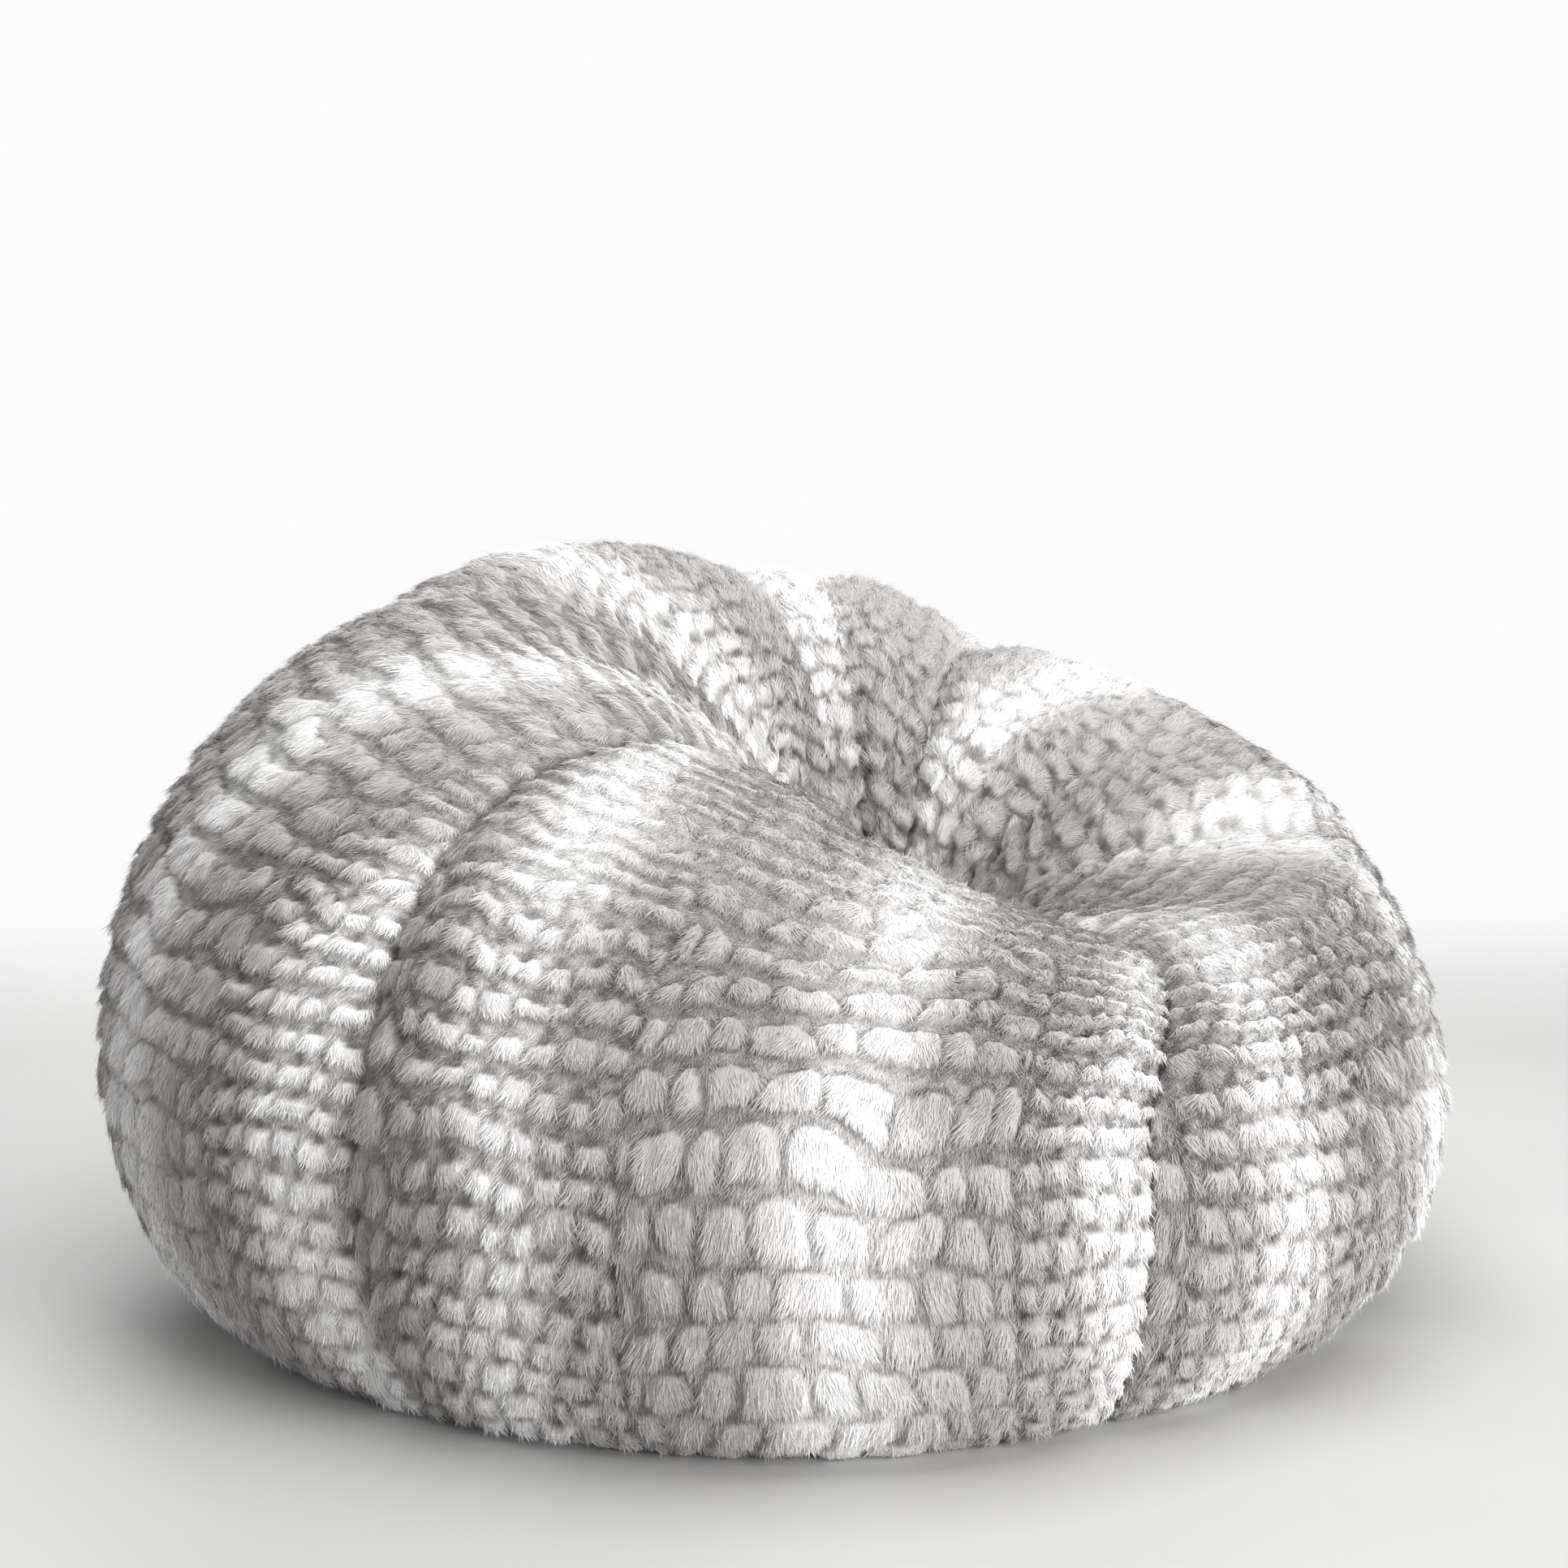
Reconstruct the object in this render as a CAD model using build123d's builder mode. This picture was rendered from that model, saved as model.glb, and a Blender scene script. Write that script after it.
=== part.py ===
from build123d import *
from math import cos, exp, pi, radians, sin, sqrt
import os

# Bean bag chair. Six furry gores run from a round base over the belly and the rim and down into a
# seat hollow. A cotton liner of the same cut lies inside them and holds the polystyrene beads.
# Cover and liner each close with a zip across the base. Millimetres, +Z up, origin on the floor
# in the middle of the bag. A bearing is 0 at the front (-Y), 90 on the right (+X), 180 at the rear.

# Outline of the filled bag, to the tips of the pile
WIDTH = 1106.0
DEPTH = 1066.0
BASE_RADIUS = 398.0
GORES = ["front_right", "rear_right", "rear", "rear_left", "front_left", "front"]
FIRST_SEAM = 20.0

# Valleys along the seams: how far the lobes fall to them, how deep and how wide the crease at their bottom is,
# and how many degrees each one swings round the seat on its way from the belly to the rim
SEAM_TUCK = 14.0
SEAM_CREASE = 14.0
CREASE_SPREAD = 45.0
VALLEY_SWINGS = [22.0, 18.0, 23.0, 3.0, -5.0, -12.0]

# Folds drawn over the rim into the hollow: bearing, half width in degrees and depth
FOLDS = [
    (68.0, 7.0, 6.0),
    (120.0, 7.0, 7.0),
    (189.0, 7.0, 12.0),
    (218.0, 7.0, 8.0),
    (236.0, 7.0, 8.0),
    (283.0, 7.0, 8.0),
]

# Belly, where a gore is widest: its mean height, and how much higher it is towards one bearing
BELLY_HEIGHT = 194.0
BELLY_TILT = 25.0
BELLY_TILT_BEARING = 262.0

# Rim round the seat: high at the rear left, low at the front right, and oval in plan
RIM_HEIGHT = 476.0
RIM_TILT = 131.0
RIM_TILT_BEARING = 227.0
RIM_RADIUS = 302.0
RIM_SHIFT = 65.0
RIM_SHIFT_BEARING = 159.0
RIM_OVAL = 55.0
RIM_OVAL_BEARING = 85.0

# Seat hollow: its axis in plan, the pit at its bottom and the pit's straight wall
SEAT_X = 85.0
SEAT_Y = 30.0
PIT_RADIUS = 50.0
PIT_FLOOR = 240.0
PIT_WALL = 20.0

# Cloth and clearances
FUR_THICKNESS = 16.0
CRUSHED_PILE = 3.0
CAP_THICKNESS = 8.0
BASE_CLOTH = 2.0
LINER_CLOTH = 1.2
LINER_EASE = 0.7
FILL_EASE = 3.0
SEAM_GAP = 0.4

# Zips: coil rows sewn under the edges of two tapes, with the same make for cover and liner
ZIP_LENGTH = 480.0
COVER_TAPE_Z = 10.0
LINER_TAPE_Z = 28.0
TAPE_WIDTH = 14.0
TAPE_THICKNESS = 0.8
TAPE_PARTING = 3.2
TAPE_TAIL = 30.0
COIL_PITCH = 5.0
COIL_WIRE = 2.1
COIL_HEIGHT = 2.4
COIL_BITE = 1.2
COIL_SEAT = 3.0
STOP_LENGTH = 4.0

# Slider of each zip, with a bridge and no pull tab
SLIDER_LENGTH = 16.0
SLIDER_FLARE = 1.8
SLIDER_PLATE = 1.2
SLIDER_FLANGE = 0.9
SLIDER_CLEARANCE = 0.4
SLIDER_FILLET = 1.6
NECK_WIDTH = 2.2
NECK_LENGTH = 4.5
BRIDGE_LENGTH = 9.0
BRIDGE_WIDTH = 2.6
BRIDGE_BAR = 1.2
BRIDGE_EYE = 1.8

# Raised tray in each base that keeps the zip off the floor: its lip round the slot, its sloping sides
SLOT_SIDE = 1.5
SLOT_MARGIN = 18.0
LIP_MARGIN = 4.0
COVER_TRAY_RUN = 18.0
LINER_TRAY_RUN = 30.0

# Worked-out sizes
GORE_ANGLE = 360.0 / len(GORES)
SECTION_SPANS = 10
SECTION_SHARES = [span / SECTION_SPANS for span in range(SECTION_SPANS + 1)]
SECTION_STEP = GORE_ANGLE / SECTION_SPANS
HALF_SPANS = SECTION_SPANS * len(GORES) // 2
LINER_OUTER = FUR_THICKNESS + LINER_EASE
LINER_INNER = LINER_OUTER + LINER_CLOTH
FILL_SKIN = LINER_INNER + FILL_EASE
LINER_FLOOR = CRUSHED_PILE + LINER_EASE
LINER_TOP_OF_BASE = LINER_FLOOR + LINER_CLOTH
FILL_FLOOR = LINER_TOP_OF_BASE + LINER_EASE
LINER_PIT_FLOOR = PIT_FLOOR - CAP_THICKNESS - LINER_EASE
FILL_PIT_FLOOR = LINER_PIT_FLOOR - LINER_CLOTH - LINER_EASE
FILL_CORE_RADIUS = PIT_RADIUS / 2
FLAT_SPAN = radians(GORE_ANGLE / SECTION_SPANS) * (BASE_RADIUS + sqrt(SEAT_X**2 + SEAT_Y**2))
BASE_DISC_RADIUS = BASE_RADIUS - SEAM_GAP - FLAT_SPAN**2 / (8 * BASE_RADIUS)
COIL_STEPS = round(ZIP_LENGTH / COIL_PITCH)
COIL_STEP = ZIP_LENGTH / COIL_STEPS
TAPE_LENGTH = ZIP_LENGTH + 2 * TAPE_TAIL
TAPE_OUTER_EDGE = TAPE_PARTING / 2 + TAPE_WIDTH
COIL_ROOT = TAPE_PARTING / 2 + COIL_SEAT
SLIDER_TAIL_WIDTH = 2 * (COIL_ROOT + SLIDER_CLEARANCE + SLIDER_FLANGE)
SLIDER_WIDTH = SLIDER_TAIL_WIDTH + SLIDER_FLARE
SLOT_LENGTH = ZIP_LENGTH + 2 * SLOT_MARGIN
SLOT_WIDTH = SLIDER_WIDTH + 2 * SLOT_SIDE
LIP_LENGTH = TAPE_LENGTH + 2 * LIP_MARGIN
LIP_WIDTH = 2 * (TAPE_OUTER_EDGE + LIP_MARGIN)
SLIDER_NOSE_X = ZIP_LENGTH / 2 + SLIDER_CLEARANCE + NECK_LENGTH
SLIDER_TAIL_X = SLIDER_NOSE_X - SLIDER_LENGTH
SLIDER_LOW = COIL_HEIGHT + SLIDER_CLEARANCE
SLIDER_HIGH = TAPE_THICKNESS + SLIDER_CLEARANCE


def heading(bearing):
    """Unit vector in plan towards a bearing."""
    return Vector(sin(radians(bearing)), -cos(radians(bearing)))


def swing(bearing, towards):
    """1 at a bearing, -1 opposite it, and a cosine between."""
    return cos(radians(bearing - towards))


def reach(bearing, half_x, half_y):
    """Distance from the seat axis to an ellipse about the origin, in plan."""
    way = heading(bearing)
    square = (way.X / half_x) ** 2 + (way.Y / half_y) ** 2
    half_slope = SEAT_X * way.X / half_x**2 + SEAT_Y * way.Y / half_y**2
    inside = (SEAT_X / half_x) ** 2 + (SEAT_Y / half_y) ** 2 - 1
    return (sqrt(half_slope**2 - square * inside) - half_slope) / square


def belly_valley(index):
    """Bearing of a seam's valley at the belly, where it follows the seam."""
    return FIRST_SEAM + index * GORE_ANGLE


def rim_valley(index):
    """Bearing of a seam's valley at the rim, where the twist of the bag has swung it."""
    return belly_valley(index) + VALLEY_SWINGS[index % len(GORES)]


def valley_depth(bearing, radius, valley):
    """How far the valleys draw the cloth in: a lobe between each two of them, and a crease along each."""
    turn = (bearing - valley(0)) % 360
    index = 0
    while turn > valley(index + 1) - valley(0):
        index += 1
    angle = valley(index + 1) - valley(index)
    lobe = (turn + valley(0) - valley(index)) / angle
    to_valley = min(lobe, 1 - lobe) * radians(angle) * radius
    return SEAM_TUCK * (1 - sin(pi * lobe)) + SEAM_CREASE * exp(-((to_valley / CREASE_SPREAD) ** 2))


def fold_depth(bearing):
    """How far the folds draw the rim in: a bell across each one."""
    depth = 0.0
    for middle, half_width, deep in FOLDS:
        turn = (bearing - middle + 180) % 360 - 180
        depth += deep * exp(-((turn / half_width) ** 2))
    return depth


def gore_profile(bearing):
    """Radii of base, belly and rim from the seat axis, and heights of belly and rim, drawn in by valleys."""
    base_r = reach(bearing, BASE_RADIUS, BASE_RADIUS)
    belly_r = reach(bearing, WIDTH / 2, DEPTH / 2)
    belly_r -= valley_depth(bearing, belly_r, belly_valley)
    rim_oval = RIM_OVAL * cos(2 * radians(bearing - RIM_OVAL_BEARING))
    rim_r = RIM_RADIUS + RIM_SHIFT * swing(bearing, RIM_SHIFT_BEARING) + rim_oval
    belly_z = BELLY_HEIGHT + BELLY_TILT * swing(bearing, BELLY_TILT_BEARING)
    rim_z = RIM_HEIGHT + RIM_TILT * swing(bearing, RIM_TILT_BEARING)
    rim_z -= valley_depth(bearing, rim_r, rim_valley) + fold_depth(bearing)
    return base_r, belly_r, rim_r, belly_z, rim_z


def skin_line(bearing, inset, floor, pit_floor):
    """One skin of a gore, drawn in the active line builder: under the belly, over it, in, and down."""
    base_r, belly_r, rim_r, belly_z, rim_z = gore_profile(bearing)
    pit_r = PIT_RADIUS + inset
    pit_top = PIT_FLOOR + PIT_WALL
    under = EllipticalCenterArc((base_r, belly_z), belly_r - base_r - inset, belly_z - floor, 270)
    EllipticalCenterArc((rim_r, belly_z), belly_r - rim_r - inset, rim_z - belly_z - inset, 0)
    EllipticalCenterArc((rim_r, pit_top), rim_r - pit_r, rim_z - pit_top - inset, 90)
    wall = Line((pit_r, pit_top), (pit_r, pit_floor))
    return under @ 0, wall @ 1


def section_plane(bearing, shift=0.0):
    """Upright plane out from the seat axis, moved sideways by a shift: x is the radius, y the height."""
    across = heading(bearing + 90)
    start = Vector(SEAT_X, SEAT_Y) + across * shift
    return Plane(origin=start, x_dir=heading(bearing), z_dir=-across)


def gore_section(bearing, shift, outer, inner):
    """Closed section of a cloth gore between two skins, each given as inset, floor and pit floor."""
    with BuildSketch(section_plane(bearing, shift)) as section:
        with BuildLine():
            outer_foot, outer_end = skin_line(bearing, *outer)
            inner_foot, inner_end = skin_line(bearing, *inner)
            Line(outer_end, inner_end)
            Line(outer_foot, inner_foot)
        make_face()
    return section.sketch


def gore(name, index, outer, inner):
    """Cloth gore between two seams, half a seam gap short of each."""
    first = FIRST_SEAM + index * GORE_ANGLE
    sections = []
    for share in SECTION_SHARES:
        shift = SEAM_GAP * (0.5 - share)
        sections.append(gore_section(first + share * GORE_ANGLE, shift, outer, inner))
    with BuildPart() as panel:
        loft(sections=sections, ruled=True)
    panel.part.label = name
    export_step(panel.part, f"parts/{name}.step")


def disc(name, top, thickness, radius):
    """Flat round piece under the ends of the gores in the pit."""
    with BuildPart() as piece:
        with BuildSketch(Plane.XY.offset(top)):
            with Locations((SEAT_X, SEAT_Y)):
                Circle(radius)
        extrude(amount=-thickness)
    piece.part.label = name
    export_step(piece.part, f"parts/{name}.step")


def tray_sections(low, high, run, margin):
    """Foot and top of a zip tray, as two rectangles."""
    with BuildSketch(Plane.XY.offset(low)) as foot:
        Rectangle(LIP_LENGTH + 2 * (run + margin), LIP_WIDTH + 2 * (run + margin))
    with BuildSketch(Plane.XY.offset(high)) as top:
        Rectangle(LIP_LENGTH + 2 * margin, LIP_WIDTH + 2 * margin)
    return [foot.sketch, top.sketch]


def base_half(name, side, floor, cloth, tape_z, run):
    """Half of a round base, raised along the middle into a tray whose slot the zip closes."""
    with BuildPart() as half:
        with BuildSketch(Plane.XY.offset(floor)):
            Circle(BASE_DISC_RADIUS)
        extrude(amount=cloth)
        loft(sections=tray_sections(floor + cloth, tape_z, run, 0))
        loft(sections=tray_sections(floor, tape_z - cloth, run, 0), mode=Mode.SUBTRACT)
        with BuildSketch(Plane.XY.offset(floor)):
            Rectangle(SLOT_LENGTH, SLOT_WIDTH)
        extrude(amount=tape_z, mode=Mode.SUBTRACT)
        seam = Plane(origin=(0, side * SEAM_GAP / 2, 0), z_dir=(0, side, 0))
        split(bisect_by=seam, keep=Keep.TOP)
    half.part.label = name
    export_step(half.part, f"parts/{name}.step")


def zip_tape(name, side, tape_z):
    """Woven tape on one side of a zip, lying on the lip of its tray."""
    with BuildPart() as tape:
        with BuildSketch(Plane.XY.offset(tape_z)):
            with Locations((0, side * (TAPE_PARTING + TAPE_WIDTH) / 2)):
                Rectangle(TAPE_LENGTH, TAPE_WIDTH)
        extrude(amount=TAPE_THICKNESS)
    tape.part.label = name
    export_step(tape.part, f"parts/{name}.step")


def zip_coil(name, side, tape_z):
    """Row of coil elements under a tape's edge, half a pitch from those of the row that it meshes with."""
    root = side * COIL_ROOT
    nose = -side * COIL_BITE
    shoulder = side * COIL_WIRE / 2
    half_wire = COIL_WIRE / 2
    start = -ZIP_LENGTH / 2 + COIL_STEP * (0.75 + side / 4)
    with BuildPart() as row:
        with BuildSketch(Plane.XY.offset(tape_z)):
            with Locations([(start + index * COIL_STEP, 0) for index in range(COIL_STEPS - 1)]):
                outline = [(-half_wire, root), (half_wire, root), (half_wire, nose + shoulder)]
                outline += [(half_wire / 2, nose), (-half_wire / 2, nose), (-half_wire, nose + shoulder)]
                Polygon(*outline, align=None)
        extrude(amount=-COIL_HEIGHT)
    row.part.label = name
    export_step(row.part, f"parts/{name}.step")


def zip_slider(name, tape_z):
    """Slider at the closed end: two plates on a neck, flanges round the coils and a bridge below."""
    middle_x = (SLIDER_NOSE_X + SLIDER_TAIL_X) / 2
    half_width = SLIDER_WIDTH / 2
    half_tail = SLIDER_TAIL_WIDTH / 2
    with BuildSketch(Plane.XY) as shield:
        with BuildLine():
            Polyline(
                (SLIDER_TAIL_X, -half_tail),
                (SLIDER_NOSE_X - NECK_LENGTH, -half_width),
                (SLIDER_NOSE_X, 0),
                (SLIDER_NOSE_X - NECK_LENGTH, half_width),
                (SLIDER_TAIL_X, half_tail),
                close=True,
            )
        make_face()
        fillet(shield.vertices(), SLIDER_FILLET)
    with BuildSketch(Plane.XY) as flanges:
        add(shield.sketch)
        offset(shield.sketch, amount=-SLIDER_FLANGE, mode=Mode.SUBTRACT)
        with Locations((SLIDER_TAIL_X, 0), (SLIDER_NOSE_X, 0)):
            Rectangle(2 * NECK_LENGTH, SLIDER_TAIL_WIDTH - 2 * SLIDER_FLANGE, mode=Mode.SUBTRACT)
    with BuildPart() as slider:
        with BuildSketch(Plane.XY.offset(tape_z - SLIDER_LOW - SLIDER_PLATE)):
            add(shield.sketch)
        extrude(amount=SLIDER_PLATE)
        with BuildSketch(Plane.XY.offset(tape_z + SLIDER_HIGH)):
            add(shield.sketch)
        extrude(amount=SLIDER_PLATE)
        with BuildSketch(Plane.XY.offset(tape_z - SLIDER_LOW)):
            add(flanges.sketch)
        extrude(amount=COIL_HEIGHT)
        with BuildSketch(Plane.XY.offset(tape_z - SLIDER_LOW)):
            with Locations((SLIDER_NOSE_X - NECK_LENGTH / 2, 0)):
                Rectangle(NECK_LENGTH / 2, NECK_WIDTH)
        extrude(amount=SLIDER_LOW + SLIDER_HIGH)
        with BuildSketch(Plane.XZ.offset(-BRIDGE_WIDTH / 2)):
            with Locations((middle_x, tape_z - SLIDER_LOW - SLIDER_PLATE)):
                Rectangle(BRIDGE_LENGTH, BRIDGE_EYE + BRIDGE_BAR, align=(Align.CENTER, Align.MAX))
                Rectangle(
                    BRIDGE_LENGTH - 2 * BRIDGE_BAR,
                    BRIDGE_EYE,
                    align=(Align.CENTER, Align.MAX),
                    mode=Mode.SUBTRACT,
                )
        extrude(amount=BRIDGE_WIDTH)
    slider.part.label = name
    export_step(slider.part, f"parts/{name}.step")


def zip_end_stop(name, tape_z):
    """Clip across both tapes that holds the open end of the zip together."""
    stop_x = -ZIP_LENGTH / 2 - STOP_LENGTH / 2
    with BuildPart() as stop:
        with BuildSketch(Plane.XY.offset(tape_z)):
            with Locations((stop_x, 0)):
                RectangleRounded(STOP_LENGTH, 2 * COIL_ROOT, COIL_WIRE / 2)
        extrude(amount=-COIL_HEIGHT)
    stop.part.label = name
    export_step(stop.part, f"parts/{name}.step")


def zip_top_stops(name, tape_z):
    """Clip on each tape just past the closed slider."""
    stop_x = SLIDER_NOSE_X + SLIDER_CLEARANCE + STOP_LENGTH / 2
    stop_y = (TAPE_PARTING + COIL_SEAT) / 2
    with BuildPart() as stops:
        with BuildSketch(Plane.XY.offset(tape_z)):
            with Locations((stop_x, -stop_y), (stop_x, stop_y)):
                RectangleRounded(STOP_LENGTH, COIL_SEAT, COIL_WIRE / 2)
        extrude(amount=-COIL_HEIGHT)
    stops.part.label = name
    export_step(stops.part, f"parts/{name}.step")


def zip_fastener(prefix, tape_z):
    """All the pieces of one zip."""
    for place, side in (("front", -1), ("rear", 1)):
        zip_tape(f"{prefix}_tape_{place}", side, tape_z)
        zip_coil(f"{prefix}_coil_{place}", side, tape_z)
    zip_slider(f"{prefix}_slider", tape_z)
    zip_end_stop(f"{prefix}_end_stop", tape_z)
    zip_top_stops(f"{prefix}_top_stops", tape_z)


def fill_section(bearing):
    """Section of the bead fill from a core round the seat axis out to its skin."""
    with BuildSketch(section_plane(bearing)) as section:
        with BuildLine():
            foot, end = skin_line(bearing, FILL_SKIN, FILL_FLOOR, FILL_PIT_FLOOR)
            core_top = Line(end, (FILL_CORE_RADIUS, FILL_PIT_FLOOR))
            core = Line(core_top @ 1, (FILL_CORE_RADIUS, FILL_FLOOR))
            Line(core @ 1, foot)
        make_face()
    return section.sketch


os.makedirs("parts", exist_ok=True)

# Fur gores and liner gores, round the seat axis
for index, place in enumerate(GORES):
    gore(
        f"fur_panel_{place}",
        index,
        outer=(0, 0, PIT_FLOOR),
        inner=(FUR_THICKNESS, CRUSHED_PILE, PIT_FLOOR),
    )
    gore(
        f"liner_panel_{place}",
        index,
        outer=(LINER_OUTER, LINER_FLOOR, LINER_PIT_FLOOR),
        inner=(LINER_INNER, LINER_TOP_OF_BASE, LINER_PIT_FLOOR),
    )

# Caps under the gathered ends of the gores
disc("crown_cap", PIT_FLOOR, CAP_THICKNESS, PIT_RADIUS + FUR_THICKNESS)
disc("liner_crown", LINER_PIT_FLOOR, LINER_CLOTH, PIT_RADIUS + LINER_INNER)

# Bases in two halves each
for place, side in (("front", -1), ("rear", 1)):
    base_half(f"base_panel_{place}", side, 0, BASE_CLOTH, COVER_TAPE_Z, COVER_TRAY_RUN)
    base_half(f"liner_base_{place}", side, LINER_FLOOR, LINER_CLOTH, LINER_TAPE_Z, LINER_TRAY_RUN)

# Zips
zip_fastener("zip", COVER_TAPE_Z)
zip_fastener("liner_zip", LINER_TAPE_Z)

# Bead fill, with a groove that clears the liner's tray and slider
with BuildPart() as bead_fill:
    for first in (FIRST_SEAM, FIRST_SEAM + 180):
        loft(sections=[fill_section(first + span * SECTION_STEP) for span in range(HALF_SPANS + 1)], ruled=True)
    with BuildSketch(Plane.XY.offset(FILL_FLOOR)):
        with Locations((SEAT_X, SEAT_Y)):
            Circle(2 * FILL_CORE_RADIUS)
    extrude(amount=FILL_PIT_FLOOR - FILL_FLOOR)
    groove_top = LINER_TAPE_Z + SLIDER_HIGH + SLIDER_PLATE + LINER_EASE
    loft(
        sections=tray_sections(FILL_FLOOR, groove_top, LINER_TRAY_RUN, 3 * LINER_EASE),
        mode=Mode.SUBTRACT,
    )
bead_fill.part.label = "bead_fill"
export_step(bead_fill.part, "parts/bead_fill.step")
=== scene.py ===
"""Round bean bag chair in striped, tufted faux fur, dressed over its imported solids.

Lengths are in metres, with +Z up and the low front of the seat towards -Y. A place on the cover is named by
its gore, by s across the gore from seam to seam, and by v up it: 0 at the base, 1 at the belly, 2 at the rim,
3 at the mouth of the pit and 4 at its floor.
"""

from types import SimpleNamespace

import bpy
import numpy as np
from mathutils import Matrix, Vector


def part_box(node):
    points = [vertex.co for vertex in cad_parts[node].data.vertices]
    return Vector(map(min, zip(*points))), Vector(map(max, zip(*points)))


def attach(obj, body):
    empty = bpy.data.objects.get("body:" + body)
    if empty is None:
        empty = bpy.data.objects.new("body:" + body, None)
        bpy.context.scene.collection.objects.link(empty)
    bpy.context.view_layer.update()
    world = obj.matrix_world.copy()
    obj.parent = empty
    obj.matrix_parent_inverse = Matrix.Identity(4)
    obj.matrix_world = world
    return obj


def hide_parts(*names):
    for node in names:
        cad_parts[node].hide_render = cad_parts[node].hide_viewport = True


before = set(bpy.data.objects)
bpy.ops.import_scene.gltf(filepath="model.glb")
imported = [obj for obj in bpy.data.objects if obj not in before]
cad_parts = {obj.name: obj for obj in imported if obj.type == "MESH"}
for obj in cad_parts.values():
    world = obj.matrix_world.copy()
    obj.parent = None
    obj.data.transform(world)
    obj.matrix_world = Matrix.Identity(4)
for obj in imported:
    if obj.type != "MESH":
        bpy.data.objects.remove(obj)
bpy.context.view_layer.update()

# Shape of the stuffed bag
HALF_WIDTH = 0.553
HALF_DEPTH = 0.533
BASE_RADIUS = 0.398
SEAT_X = 0.085
SEAT_Y = 0.030
SEAM_TUCK = 0.014
BELLY_HEIGHT = 0.194
BELLY_TILT = 0.025
RIM_HEIGHT = 0.476
RIM_TILT = 0.131
RIM_RADIUS = 0.302
RIM_SHIFT = 0.065
RIM_OVAL = 0.055
PIT_RADIUS = 0.050
PIT_TOP = 0.260
PIT_FLOOR = 0.240
GORES = ["front_right", "rear_right", "rear", "rear_left", "front_left", "front"]
FIRST_SEAM = 20.0
GORE_ANGLE = 60.0

# How far each seam swings from its bearing where the cloth is drawn over the rim, in degrees
SEAM_SWING = np.array([22.0, 18.0, 23.0, 3.0, -5.0, -12.0])

# Folds drawn into the hollow: bearing, half width in degrees, depth, middle and half length in v
FOLDS = [
    (190.0, 4.0, 0.014, 2.25, 0.55),
    (172.0, 4.0, 0.010, 2.60, 0.60),
    (214.0, 6.0, 0.010, 2.60, 0.70),
    (236.0, 6.0, 0.009, 2.50, 0.70),
    (283.0, 6.0, 0.010, 2.60, 0.60),
    (120.0, 7.0, 0.009, 2.60, 0.60),
    (68.0, 6.0, 0.008, 2.60, 0.60),
]

# Layers under the tips of the pile, and the floors of the layers inside
BACKING_INSET = 0.0150
BACKING_FLOOR = 0.001
TUFT_HEIGHT = 0.0102
SEAM_DIP = 0.015
SEAM_DIP_WIDTH = 0.022
LINER_INSET = 0.0170
LINER_FLOOR = 0.0037
LINER_PIT_FLOOR = 0.2313
FILL_INSET = 0.0190
FILL_FLOOR = 0.0056
FILL_TRAY_RISE = 0.0344
FILL_PIT_FLOOR = 0.2290

# Layout of the tufted cloth, from the left edge of a band of small tufts
CLOTH_START = -0.260
CLOTH_REPEAT = 0.437
SMALL_BAND = 0.170
SMALL_TUFT = 0.0243
SMALL_PITCH = 0.0285
LARGE_TUFT = 0.047
MIDDLE_TUFT = 0.029
LARGE_PITCH = 0.041
LARGE_CORE = 0.315
SMALL_CORE = 0.085
CLOTH_SHIFT = [0.034, 0.0, 0.02, 0.0, 0.012, 0.0]

# How far the tufts and their painted shade calm down on the crest of each gore
CREST_CALM = [0.60, 0.40, 0.40, 0.40, 0.40, 0.72]


# Numbers shared by every surface
def join(*parts):
    """Coordinates joined into places, each spread over the shape that they share."""
    return np.stack(np.broadcast_arrays(*parts), axis=-1)


def ease(value, low, high):
    """Smooth step: 0 below low, 1 above high, 3t squared minus 2t cubed between."""
    share = np.clip((value - low) / (high - low), 0.0, 1.0)
    return share * share * (3.0 - 2.0 * share)


def steady(*keys):
    """A number from 0 to 1 that is always the same for the same whole keys: the fraction of a large sine."""
    weights = (12.9898, 78.233, 37.719, 93.989)
    total = sum(np.asarray(key, float) * weight for key, weight in zip(keys, weights))
    return np.modf(np.abs(np.sin(total) * 43758.5453))[0]


def drift(across, along, seed):
    """Smooth noise from -1 to 1: steady numbers at whole places, blended by smooth steps between them."""
    left = np.floor(across)
    low = np.floor(along)
    share_x = ease(across - left, 0.0, 1.0)
    share_y = ease(along - low, 0.0, 1.0)
    bottom = steady(left, low, seed) * (1 - share_x) + steady(left + 1, low, seed) * share_x
    top = steady(left, low + 1, seed) * (1 - share_x) + steady(left + 1, low + 1, seed) * share_x
    return 2.0 * (bottom * (1 - share_y) + top * share_y) - 1.0


def swing(bearing, towards):
    """Cosine of the turn from one bearing to another, both in degrees."""
    return np.cos(np.radians(bearing - towards))


def reach(bearing, half_x, half_y):
    """Distance from the seat axis along a bearing to an ellipse about the origin: the ray's larger root."""
    turn = np.radians(bearing)
    way_x = np.sin(turn) / half_x
    way_y = -np.cos(turn) / half_y
    from_x = SEAT_X / half_x
    from_y = SEAT_Y / half_y
    square = way_x**2 + way_y**2
    half = from_x * way_x + from_y * way_y
    rest = from_x**2 + from_y**2 - 1.0
    return (np.sqrt(half**2 - square * rest) - half) / square


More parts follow.
